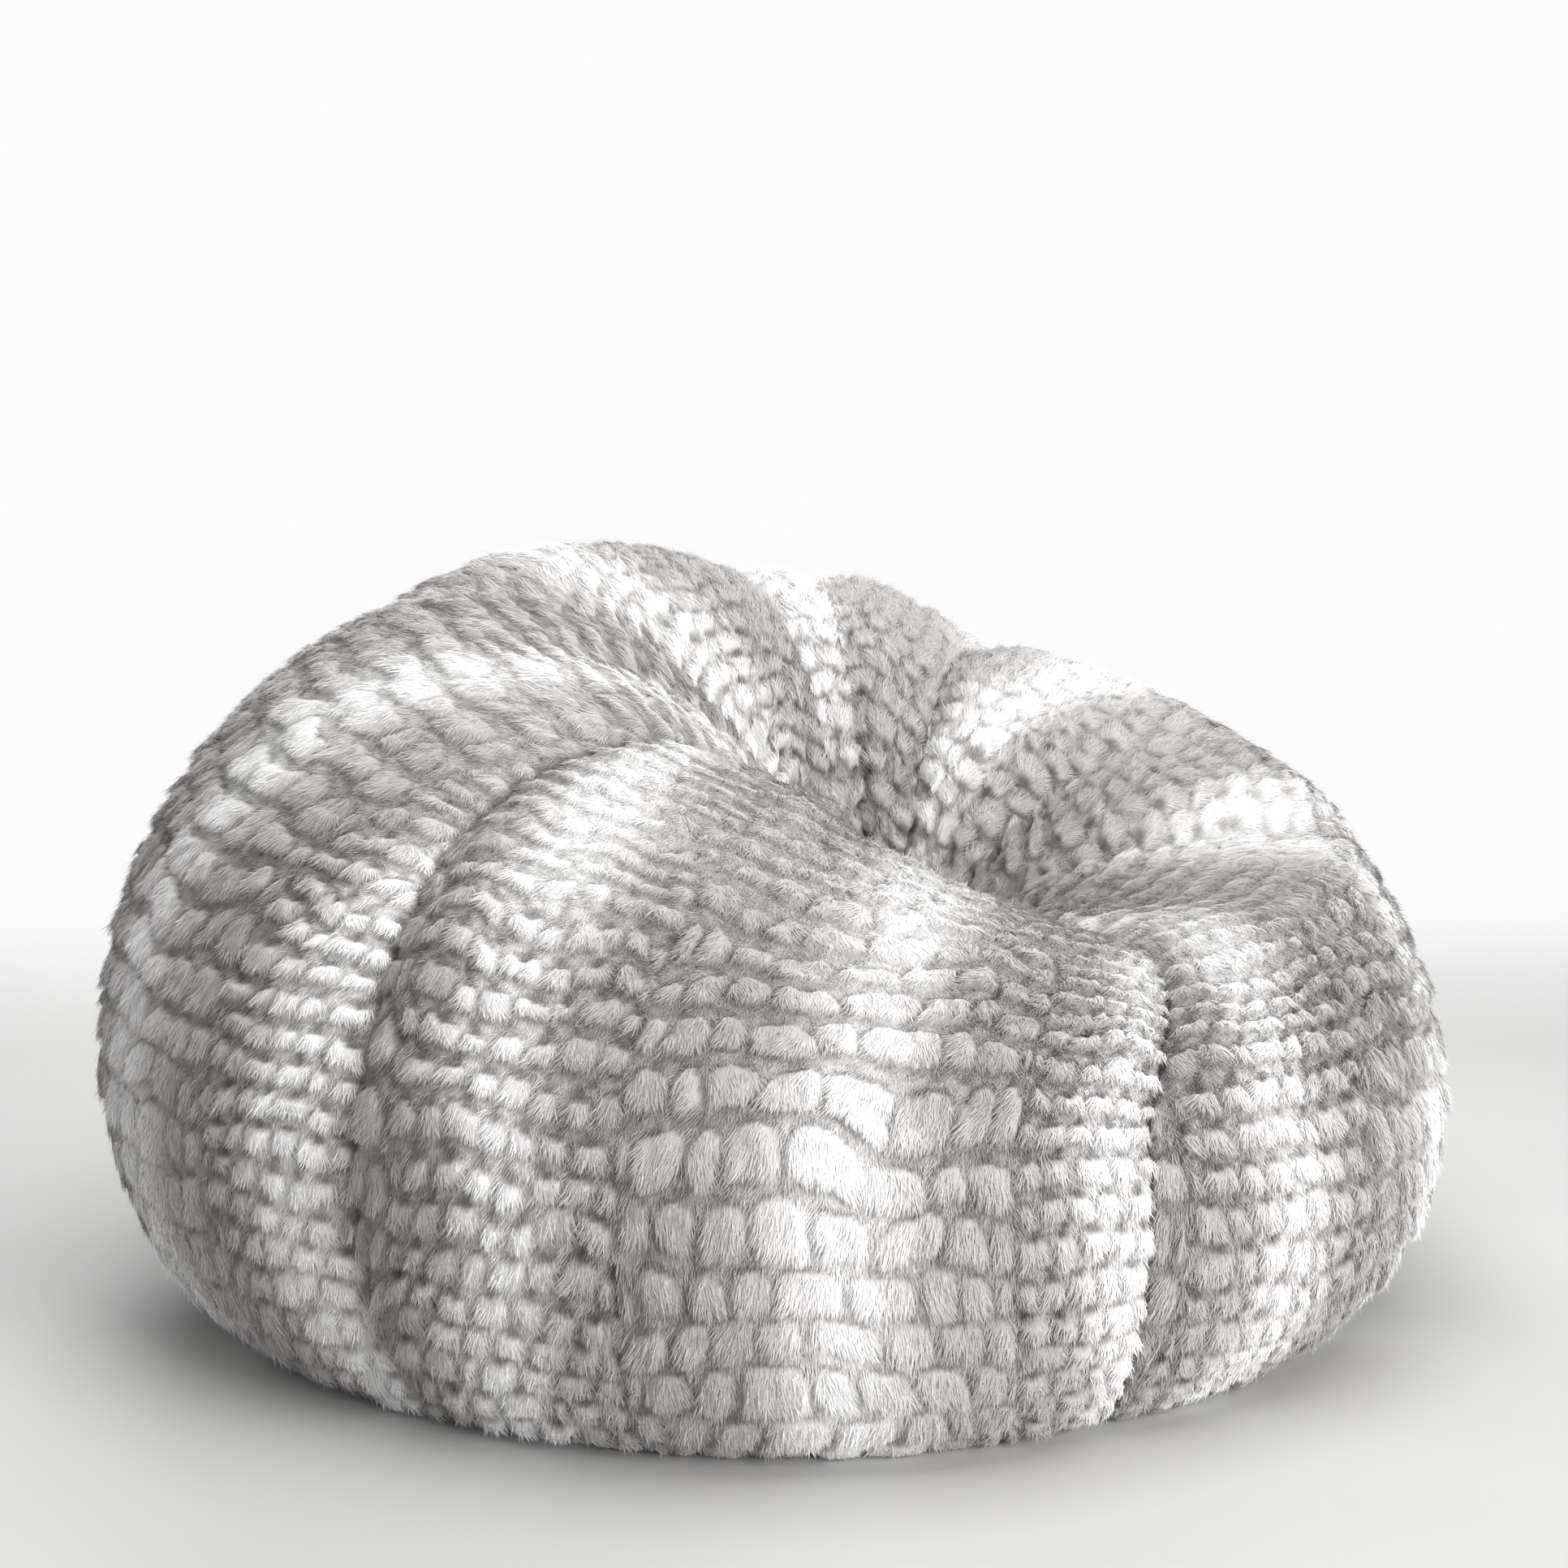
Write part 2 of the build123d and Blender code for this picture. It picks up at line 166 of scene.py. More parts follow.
def fold_depth(bearing, v):
    """How deep the folds are: a bell across each one's bearing times a bell along v, plus pleats by the pit.
    """
    depth = np.zeros(np.broadcast(bearing, v).shape)
    for middle, half_width, deep, centre, half_length in FOLDS:
        turn = (bearing - middle + 180.0) % 360.0 - 180.0
        depth = depth + deep * np.exp(-((turn / half_width) ** 2) - ((v - centre) / half_length) ** 2)
    turn = np.radians(bearing)
    pleats = np.cos(11 * turn + 1.0) + 0.7 * np.cos(17 * turn + 2.2) + 0.5 * np.cos(29 * turn)
    return depth + 0.0035 * pleats * ease(v, 1.5, 2.5) * (1 - ease(v, 3.0, 3.4))


def skin(bearing, lobe, v, inset, floor=0.0, pit_floor=PIT_FLOOR):
    """Points of a layer: quarter arcs from base to belly, belly to rim and rim to pit, then the pit wall.

    The arcs' ends swing with the bearing, and the seams, at lobe 0 and 1, are tucked in by one minus a sine.
    """
    tuck = SEAM_TUCK * (1.0 - np.sin(np.pi * lobe))
    base = reach(bearing, BASE_RADIUS, BASE_RADIUS)
    belly = reach(bearing, HALF_WIDTH, HALF_DEPTH) - tuck
    rim = RIM_RADIUS + RIM_SHIFT * swing(bearing, 159.0) + RIM_OVAL * np.cos(2 * np.radians(bearing - 85.0))
    belly_height = BELLY_HEIGHT + BELLY_TILT * swing(bearing, 262.0)
    rim_height = RIM_HEIGHT + RIM_TILT * swing(bearing, 227.0) - tuck
    turn = 0.5 * np.pi * (v - np.floor(np.minimum(v, 3.0)))
    rise = np.sin(turn)
    fall = np.cos(turn)
    under = (base + (belly - base - inset) * rise, belly_height - (belly_height - floor) * fall)
    upper = (rim + (belly - rim - inset) * fall, belly_height + (rim_height - belly_height - inset) * rise)
    roll = (rim - (rim - PIT_RADIUS - inset) * rise, PIT_TOP + (rim_height - PIT_TOP - inset) * fall)
    wall = (PIT_RADIUS + inset, PIT_TOP + (pit_floor - PIT_TOP) * np.clip(v - 3.0, 0.0, 1.0))
    parts = [v < 1.0, v < 2.0, v < 3.0]
    radius = np.select(parts, [under[0], upper[0], roll[0]], wall[0])
    height = np.select(parts, [under[1], upper[1], roll[1]], wall[1])
    way = np.radians(bearing)
    return join(SEAT_X + radius * np.sin(way), SEAT_Y - radius * np.cos(way), height)


def seam_bearing(number, v):
    """Bearing of a seam at v: its planned bearing, swung smoothly between belly and rim."""
    return FIRST_SEAM + GORE_ANGLE * number + SEAM_SWING[number % 6] * ease(v, 1.1, 2.1)


def gore_width(v):
    """Width of a gore at v, close enough to turn s into metres for a seam's crease."""
    return 0.42 + 0.14 * ease(v, 0.0, 1.0) - 0.26 * ease(v, 1.2, 2.2) - 0.25 * ease(v, 2.0, 3.0)


def gore_skin(gore, s, v, inset, **ends):
    """Points of a gore's layer: the skin between two seams, drawn in by folds and by a crease at each seam.

    The crease falls off exponentially with the distance from the seam.
    """
    left = seam_bearing(gore, v)
    right = seam_bearing(gore + 1, v)
    bearing = left + (right - left) * s
    from_seam = np.minimum(s, 1.0 - s) * gore_width(v)
    crease = SEAM_DIP * np.exp(-from_seam / SEAM_DIP_WIDTH) * ease(v, 0.05, 0.4) * (1 - ease(v, 2.8, 3.2))
    inwards = inset + crease + fold_depth(bearing, v) * (1 - ease(v, 3.0, 3.4))
    return skin(bearing, s, v, inwards, **ends)


def unit(vectors):
    """Each vector divided by its length."""
    return vectors / np.maximum(np.linalg.norm(vectors, axis=-1, keepdims=True), 1e-9)


def spread(rows, columns):
    """A column of values and a row of values, both spread over the grid that they span."""
    return rows[:, None] + 0 * columns[None, :], columns[None, :] + 0 * rows[:, None]


class GoreCloth:
    """A gore laid flat: tables of the distance up the cloth and the width across it at each v."""

    def __init__(self, gore):
        self.v = np.linspace(0.0, 4.0, 801)
        middle = gore_skin(gore, np.full(801, 0.5), self.v, BACKING_INSET)
        steps = np.linalg.norm(np.diff(middle, axis=0), axis=1)
        self.up = np.concatenate([[0.0], np.cumsum(steps)])
        shares = np.linspace(0.0, 1.0, 33)
        net = gore_skin(gore, shares[None, :], self.v[:, None], BACKING_INSET)
        self.wide = np.linalg.norm(np.diff(net, axis=1), axis=2).sum(axis=1)
        self.length = self.up[-1]

    def v_at(self, up):
        return np.interp(up, self.up, self.v)

    def up_at(self, v):
        return np.interp(v, self.v, self.up)

    def width_at(self, v):
        return np.interp(v, self.v, self.wide)

    def net(self, rows, columns):
        """A grid of even steps: the distance up, s, v and the width of the gore at each place."""
        up, s = spread(np.linspace(0.0, self.length, rows), np.linspace(0.0, 1.0, columns))
        v = self.v_at(up)
        return up, s, v, self.width_at(v)


# Widths of the tufts across the large band, summed to a column number at each place
large_places = np.linspace(SMALL_BAND, CLOTH_REPEAT, 400)
large_share = np.exp(-(((large_places - LARGE_CORE) / 0.055) ** 2))
large_widths = MIDDLE_TUFT + (LARGE_TUFT - MIDDLE_TUFT) * large_share
large_columns = np.cumsum((large_places[1] - large_places[0]) / large_widths)


def tufts(across, up, v, gore):
    """Height, tone and lie of the tufted cloth at places in metres across and up a gore.

    The cloth repeats across in a band of small tufts and a band of large ones, and is all small ones in the
    hollow. Rows are whole numbers of the wavy distance up, columns whole numbers of the distance across,
    shifted by half from row to row. Inside its cell each tuft is a box of its own size with rounded corners,
    and its height and painted shade follow the distance inside that box. Between two tufts, over the middle
    of the next, is a pocket of painted shade. The painted shade also darkens the low band between rows, a
    thin line round each tuft and its top, and is lighter on the white stripes and on the crest.
    """

    def cloud(wide, tall, seed):
        return drift(across * wide, up * tall, seed + gore)

    warp = 0.008 * cloud(9, 7, 3) + 0.003 * cloud(36, 32, 13)
    place = (across - CLOTH_SHIFT[gore] + warp - CLOTH_START) % CLOTH_REPEAT
    in_hollow = v > 2.1 + 0.2 * cloud(20, 3, 15)
    small = (place < SMALL_BAND) | in_hollow
    wide = np.where(small, SMALL_TUFT, np.interp(place, large_places, large_widths))
    column = np.where(small, place / SMALL_TUFT, np.interp(place, large_places, large_columns))
    pitch = np.where(small, SMALL_PITCH, LARGE_PITCH)
    loose = ease(v, 0.9, 1.6)
    crest = CREST_CALM[gore] * ease(v, 1.35, 1.80) * (1 - ease(v, 2.1, 2.5))
    wave = 0.26 * cloud(9, 13, 11)
    wave = wave + (np.where(small, 0.26, 0.15) + 0.20 * loose) * cloud(25, 17, 23)
    level = up / pitch + wave + steady(gore, small * 1, 5)
    row = np.floor(level)
    rise = level - row
    key = row + 100 * small
    column = column + 0.5 * (row % 2) + 0.16 * steady(key, gore, 7)
    column = column + 0.10 * cloud(30, 60, 17)

    def edge(number):
        return number + 0.40 * (steady(key, number, gore) - 0.5)

    cell = np.floor(column)
    cell = cell - (column < edge(cell))
    cell = cell + (column > edge(cell + 1))
    left = edge(cell)
    right = edge(cell + 1)
    tuft = steady(key, cell, gore, 2)
    lean = steady(key, cell, gore, 8) - 0.5
    fan = (column - 0.5 * (left + right)) / (right - left)
    top_gap = 0.01 + 0.11 * steady(key, cell, gore, 4)
    band = np.where(small, 0.18, 0.16) + 0.14 * (steady(key, cell, gore, 6) - 0.5)
    slant = 0.24 * lean * fan
    band_edge = np.where(small, np.minimum(place, SMALL_BAND - place),
                         np.minimum(place - SMALL_BAND, CLOTH_REPEAT - place))
    band_edge = np.where(in_hollow, 1.0, band_edge)
    ragged = 0.0012 * drift(across * 330, up * 110, 53) + 0.0013 * drift(across * 120, up * 60, 59)
    to_side = np.minimum(np.minimum(column - left, right - column) * wide, band_edge) - 0.0008 + ragged
    to_lip = (rise - band + slant) * pitch + ragged
    notch = 0.0050 * np.exp(-((fan / 0.24) ** 2)) * small * (0.3 + 0.7 * tuft)
    to_top = (1.0 - top_gap - rise - slant) * pitch + ragged - notch
    to_end = np.minimum(to_lip, to_top)
    corner = np.where(small, 0.0100, 0.0125)
    inside = corner - np.hypot(np.maximum(corner - to_side, 0.0), np.maximum(corner - to_end, 0.0))
    inside = np.minimum(np.minimum(to_side, to_end), inside)
    on_tuft = ease(inside, -0.0012, 0.0040)
    climb = np.clip((rise - band) / (1.0 - top_gap - band), 0.0, 1.0)
    clump = cloud(150, 85, 67)
    patch = 0.5 + 0.5 * cloud(60, 40, 61)
    dome = 1.0 - (1.0 - np.clip(inside / 0.010, 0.0, 1.0)) ** 2
    face = (0.62 + 0.38 * (1.0 - climb) ** 1.5) * (0.80 + 0.40 * tuft) * (0.55 + 0.45 * dome)
    low = 0.12 + 0.16 * patch
    height = TUFT_HEIGHT * np.clip(low + (face - low) * on_tuft, 0.0, 1.1) * (1.0 - 0.65 * crest)
    height = height + (0.0011 + 0.0009 * loose) * clump
    shift = 0.012 * cloud(5, 9, 31)
    stripe = np.exp(-(((place - SMALL_CORE + shift) / 0.038) ** 2))
    stripe = stripe + 0.97 * np.exp(-(((place - LARGE_CORE + shift) / 0.047) ** 2))
    patchy = 0.10 * cloud(13, 11, 41) + 0.14 * (tuft - 0.5)
    stripe = np.clip(stripe * (1.0 + patchy) + 0.6 * patchy + 0.04, 0.0, 1.0)
    # Painted shade: pockets between tufts, the low band, a dark line round each tuft, darker towards its top.
    between = np.where(to_lip < 0.0, 1.0 - ease(to_side, 0.0, 0.30 * wide), np.exp(-((fan / 0.30) ** 2)))
    pocket = between**2 * (0.35 + 0.65 * tuft) * np.where(small, 0.92, 0.45)
    low_band_painted_shade = 0.76 + 0.16 * patch - pocket
    ring = np.exp(-((inside / 0.0018) ** 2)) * ease(patch, 0.15, 0.55)
    upper = to_top < np.minimum(to_lip, to_side)
    depth = (1.0 - 0.10 * climb) * on_tuft + low_band_painted_shade * (1 - on_tuft)
    depth = depth * (1.0 - np.where(upper, 0.72, 0.52) * ring) * (1.0 + 0.08 * clump)
    depth = 1.0 - (1.0 - depth) * (1.0 - 0.30 * stripe) * (1.0 - crest)
    return SimpleNamespace(
        height=height, stripe=stripe, depth=depth, small=small, rise=rise, to_lip=to_lip, to_top=to_top,
        on_tuft=on_tuft, pitch=pitch, fan=fan, lean=lean, loose=loose, crest=crest,
    )


# Meshes from arrays
def grid_faces(rows, columns):
    """Four corners of each cell of a grid of rows by columns of points, so that faces point outwards."""
    first = np.arange((rows - 1) * columns).reshape(rows - 1, columns)[:, :-1]
    return join(first, first + 1, first + columns + 1, first + columns).reshape(-1, 4)


def tube_faces(rings, around):
    """Four corners of each cell between closed rings of points."""
    ring = np.arange((rings - 1) * around).reshape(rings - 1, around)
    turned = np.roll(ring, -1, axis=1)
    return join(ring, turned, turned + around, ring + around).reshape(-1, 4)


def add_object(name, data):
    """A new object in the scene for a mesh, a lamp or a camera."""
    made = bpy.data.objects.new(name, data)
    bpy.context.scene.collection.objects.link(made)
    return made


def make_piece(name, points, faces, materials, smooth=True):
    """A mesh object from arrays of points, of any shape, and of faces with the same number of corners."""
    mesh = bpy.data.meshes.new(name)
    corners = faces.shape[1]
    mesh.vertices.add(points.size // 3)
    mesh.vertices.foreach_set("co", np.ascontiguousarray(points, np.float32).ravel())
    mesh.loops.add(faces.size)
    mesh.loops.foreach_set("vertex_index", np.ascontiguousarray(faces, np.int32).ravel())
    mesh.polygons.add(len(faces))
    mesh.polygons.foreach_set("loop_start", np.arange(0, faces.size, corners, dtype=np.int32))
    mesh.update(calc_edges=True)
    mesh.polygons.foreach_set("use_smooth", np.full(len(faces), smooth))
    mesh.update()
    for material in materials:
        mesh.materials.append(material)
    return add_object(name, mesh)


def add_numbers(piece, **numbers):
    """Named numbers on the points of a piece."""
    for name, values in numbers.items():
        layer = piece.data.attributes.new(name, "FLOAT", "POINT")
        layer.data.foreach_set("value", np.ascontiguousarray(values, np.float32).ravel())


def add_map(piece, name, places, faces):
    """A UV map from a place for each point."""
    layer = piece.data.uv_layers.new(name=name)
    corners = places.reshape(-1, 2)[faces.ravel()]
    layer.data.foreach_set("uv", np.ascontiguousarray(corners, np.float32).ravel())


# Shader building
def place_node(tree, kind, settings=None, **inputs):
    """A node with its settings, and inputs set to values or linked from sockets. Spaces in names are _."""
    node = tree.nodes.new(kind)
    for key, value in (settings or {}).items():
        setattr(node, key, value)
    for key, value in inputs.items():
        numbered = key[0] == "i" and key[1:].isdigit()
        socket = node.inputs[int(key[1:]) if numbered else key.replace("_", " ")]
        if isinstance(value, bpy.types.NodeSocket):
            tree.links.new(value, socket)
        else:
            socket.default_value = value
    return node


def calculate(tree, operation, first, second=0.0, clamp=False):
    """One step of arithmetic on values or sockets."""
    settings = {"operation": operation, "use_clamp": clamp}
    return place_node(tree, "ShaderNodeMath", settings, i0=first, i1=second).outputs[0]


def scale_and_add(tree, value, scale, offset):
    """A value times a scale, plus an offset."""
    settings = {"operation": "MULTIPLY_ADD"}
    return place_node(tree, "ShaderNodeMath", settings, i0=value, i1=scale, i2=offset).outputs[0]


def blend_colours(tree, kind, share, first, second):
    """Two colours mixed by a share."""
    settings = {"data_type": "RGBA", "blend_type": kind}
    return place_node(tree, "ShaderNodeMix", settings, i0=share, i6=first, i7=second).outputs[2]


def colour_ramp(tree, share, stops):
    """Colours looked up along a ramp of (place, colour) stops."""
    node = place_node(tree, "ShaderNodeValToRGB", Fac=share)
    ramp = node.color_ramp
    while len(ramp.elements) < len(stops):
        ramp.elements.new(0.5)
    for element, (place, colour) in zip(ramp.elements, stops):
        element.position = place
        element.color = (*colour, 1.0)
    return node.outputs[0]


def new_group(name, inputs, outputs):
    """An empty node group with named inputs (name, kind, value) and outputs (name, kind)."""
    group = bpy.data.node_groups.new(name, "ShaderNodeTree")
    for label, kind, value in inputs:
        socket = group.interface.new_socket(label, in_out="INPUT", socket_type=kind)
        if value is not None:
            socket.default_value = value
    for label, kind in outputs:
        group.interface.new_socket(label, in_out="OUTPUT", socket_type=kind)
    return group, group.nodes.new("NodeGroupInput").outputs, group.nodes.new("NodeGroupOutput")


def use_group(tree, group, **inputs):
    """A group placed in a tree with its inputs."""
    return place_node(tree, "ShaderNodeGroup", {"node_tree": group}, **inputs).outputs


def new_material(name, **constants):
    """A Principled material with its plain values set on the shader's own sockets."""
    material = bpy.data.materials.new(name)
    material.use_nodes = True
    tree = material.node_tree
    shader = tree.nodes["Principled BSDF"]
    for key, value in constants.items():
        shader.inputs[key.replace("_", " ")].default_value = value
    return material, tree, shader


def feed(node, **sockets):
    """Sockets linked to the named inputs of a node. Spaces in names are _."""
    for key, value in sockets.items():
        node.id_data.links.new(value, node.inputs[key.replace("_", " ")])


def raise_surface(tree, shader, height, distance, strength=1.0):
    """Height into the shader's normal through a bump."""
    bump = place_node(tree, "ShaderNodeBump", Strength=strength, Distance=distance, Height=height)
    feed(shader, Normal=bump.outputs[0])


def object_places(tree):
    """Places in the object's own space."""
    return place_node(tree, "ShaderNodeTexCoord").outputs["Object"]


def noise(tree, where, scale, detail, roughness=0.5):
    """Cloudy noise from 0 to 1 at given places."""
    finish = {"Scale": scale, "Detail": detail, "Roughness": roughness}
    return place_node(tree, "ShaderNodeTexNoise", Vector=where, **finish).outputs[0]


def number_of(tree, name):
    """A named number of the piece's points."""
    return place_node(tree, "ShaderNodeAttribute", {"attribute_name": name}).outputs["Fac"]


# Colours of the fur
FUR_GREY = (0.47, 0.451, 0.441)
FUR_MIDDLE = (0.64, 0.623, 0.613)
FUR_PALE = (0.84, 0.832, 0.826)
FUR_WHITE = (0.95, 0.947, 0.943)


def fur_tone_group():
    """Colour of the pile: grey to white by the stripe, darkened by painted shade, tone shifted hair by hair.
    """
    group, given, made = new_group(
        "fur_tone_and_painted_shade",
        [("Stripe", "NodeSocketFloat", 0.5), ("Depth", "NodeSocketFloat", 1.0),
         ("Shade", "NodeSocketFloat", 0.5)],
        [("Color", "NodeSocketColor")],
    )
    stripe = scale_and_add(group, given["Shade"], 0.24, -0.12)
    stripe = calculate(group, "ADD", given["Stripe"], stripe, clamp=True)
    stops = [(0.0, FUR_GREY), (0.35, FUR_MIDDLE), (0.7, FUR_PALE), (1.0, FUR_WHITE)]
    tone = colour_ramp(group, stripe, stops)
    # Painted shade: a ramp from near black at 0 to no change at 1, multiplied into the tone.
    dark = colour_ramp(group, given["Depth"], [(0.0, (0.12, 0.115, 0.11)), (0.5, (0.45, 0.437, 0.428)),
                                               (1.0, (1.0, 1.0, 1.0))])
    feed(made, Color=blend_colours(group, "MULTIPLY", 1.0, tone, dark))
    return group


def nap_group():
    """Streaks along the nap: noise stretched up the cloth, from 0 to 1."""
    group, given, made = new_group(
        "nap_streaks", [("Vector", "NodeSocketVector", None), ("Fine", "NodeSocketFloat", 1.0)],
        [("Streak", "NodeSocketFloat")],
    )
    turned = place_node(group, "ShaderNodeMapping", Vector=given["Vector"], Scale=(700.0, 90.0, 1.0))
    streak = place_node(group, "ShaderNodeTexNoise", {"noise_dimensions": "2D"}, Vector=turned.outputs[0],
                        Scale=given["Fine"], Detail=3.0, Roughness=0.6)
    feed(made, Streak=streak.outputs[0])
    return group


fur_tone_and_painted_shade = fur_tone_group()
nap_streaks = nap_group()
FUR_FINISH = {"Roughness": 0.82, "Specular_IOR_Level": 0.22, "Sheen_Weight": 0.45, "Sheen_Roughness": 0.5}


def undercoat_material():
    """Dense short hair under the long pile: the fur's tone with streaks along the nap, and patchy painted
    shade.
    """
    material, tree, shader = new_material("fur_undercoat", **FUR_FINISH)
    flat = place_node(tree, "ShaderNodeUVMap", {"uv_map": "cloth"}).outputs[0]
    streak = use_group(tree, nap_streaks, Vector=flat)[0]
    # Painted shade: the piece's shade number, made patchy by the streaks.
    depth = scale_and_add(tree, streak, 0.35, 0.70)
    depth = calculate(tree, "MULTIPLY", number_of(tree, "depth"), depth)
    colour = use_group(tree, fur_tone_and_painted_shade, Stripe=number_of(tree, "stripe"), Depth=depth, Shade=streak)[0]
    feed(shader, Base_Color=colour)
    raise_surface(tree, shader, streak, 0.002, 0.8)
    return material


def pile_material():
    """Long hair: the fur's tone and painted shade from numbers carried on each hair."""
    material, tree, shader = new_material("fur_pile", **FUR_FINISH)
    colour = use_group(tree, fur_tone_and_painted_shade, Stripe=number_of(tree, "stripe"), Depth=number_of(tree, "depth"),
                       Shade=number_of(tree, "shade"))[0]
    feed(shader, Base_Color=colour)
    return material


fur_undercoat = undercoat_material()
fur_pile = pile_material()

# Six gores: undercoat with its tufts, then the pile that lies on it
MAP_WIDE = 0.72
MAP_LONG = 1.50
HAIRS = 172000
ROOT_STEP_ACROSS = 0.7548776662466927
ROOT_STEP_UP = 0.5698402909980532


def on_map(across, up):
    """Flat cloth places as shares of the map's square."""
    return join(across / MAP_WIDE + 0.5, (up + 0.03) / MAP_LONG)


def seam_fade(s, v, width):
    """0 at a seam, the base edge and the pit's floor, and 1 a little way from them."""
    from_seam = np.minimum(s, 1.0 - s) * width
    return ease(from_seam, 0.0, 0.006) * ease(v, 0.0, 0.12) * (1 - ease(v, 3.7, 4.0))


def above_floor(points, normal, height):
    """Height of a tuft, held to the room that the floor leaves below the cloth along its normal."""
    down = np.maximum(-normal[..., 2], 0.05)
    room = np.maximum(points[..., 2] - BACKING_FLOOR, 0.0) / down
    return np.where(normal[..., 2] < 0.0, np.minimum(height, room), height)


def undercoat(gore, cloth):
    """A gore's grid of even steps up the cloth, raised along its normals by the height of the tufts."""
    rows, columns = 336, 149
    up, s, v, width = cloth.net(rows, columns)
    across = (s - 0.5) * width
    points = gore_skin(gore, s, v, BACKING_INSET)
    normal = unit(np.cross(np.gradient(points, axis=1), np.gradient(points, axis=0)))
    lie = tufts(across, up, v, gore)
    fade = seam_fade(s, v, width)
    points = points + normal * above_floor(points, normal, lie.height * fade)[..., None]
    points[..., 2] = np.maximum(points[..., 2], BACKING_FLOOR)
    faces = grid_faces(rows, columns)
    piece = make_piece(f"fur_undercoat_{GORES[gore]}", points, faces, [fur_undercoat])
    # Painted shade: the tufts' shade, darker again towards the seams, the base edge and the pit's floor.
    add_numbers(piece, stripe=lie.stripe, depth=lie.depth * (0.45 + 0.55 * fade))
    add_map(piece, "cloth", join(across, up), faces)
    add_map(piece, "OFBake", on_map(across, up), faces)
    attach(piece, "bag")
    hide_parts(f"fur_panel_{GORES[gore]}")


def hair_corners(root, side, tip, facing):
    """A triangle for each hair, from two corners at its root to one at its tip, turned to face a way."""
    corners = np.stack([root + side, root - side, tip], axis=1)
    turned = np.cross(corners[:, 1] - corners[:, 0], corners[:, 2] - corners[:, 0])
    flip = np.einsum("ij,ij->i", turned, facing) < 0
    corners[flip] = corners[flip][:, [1, 0, 2]]
    return corners, np.arange(3 * len(root)).reshape(-1, 3)


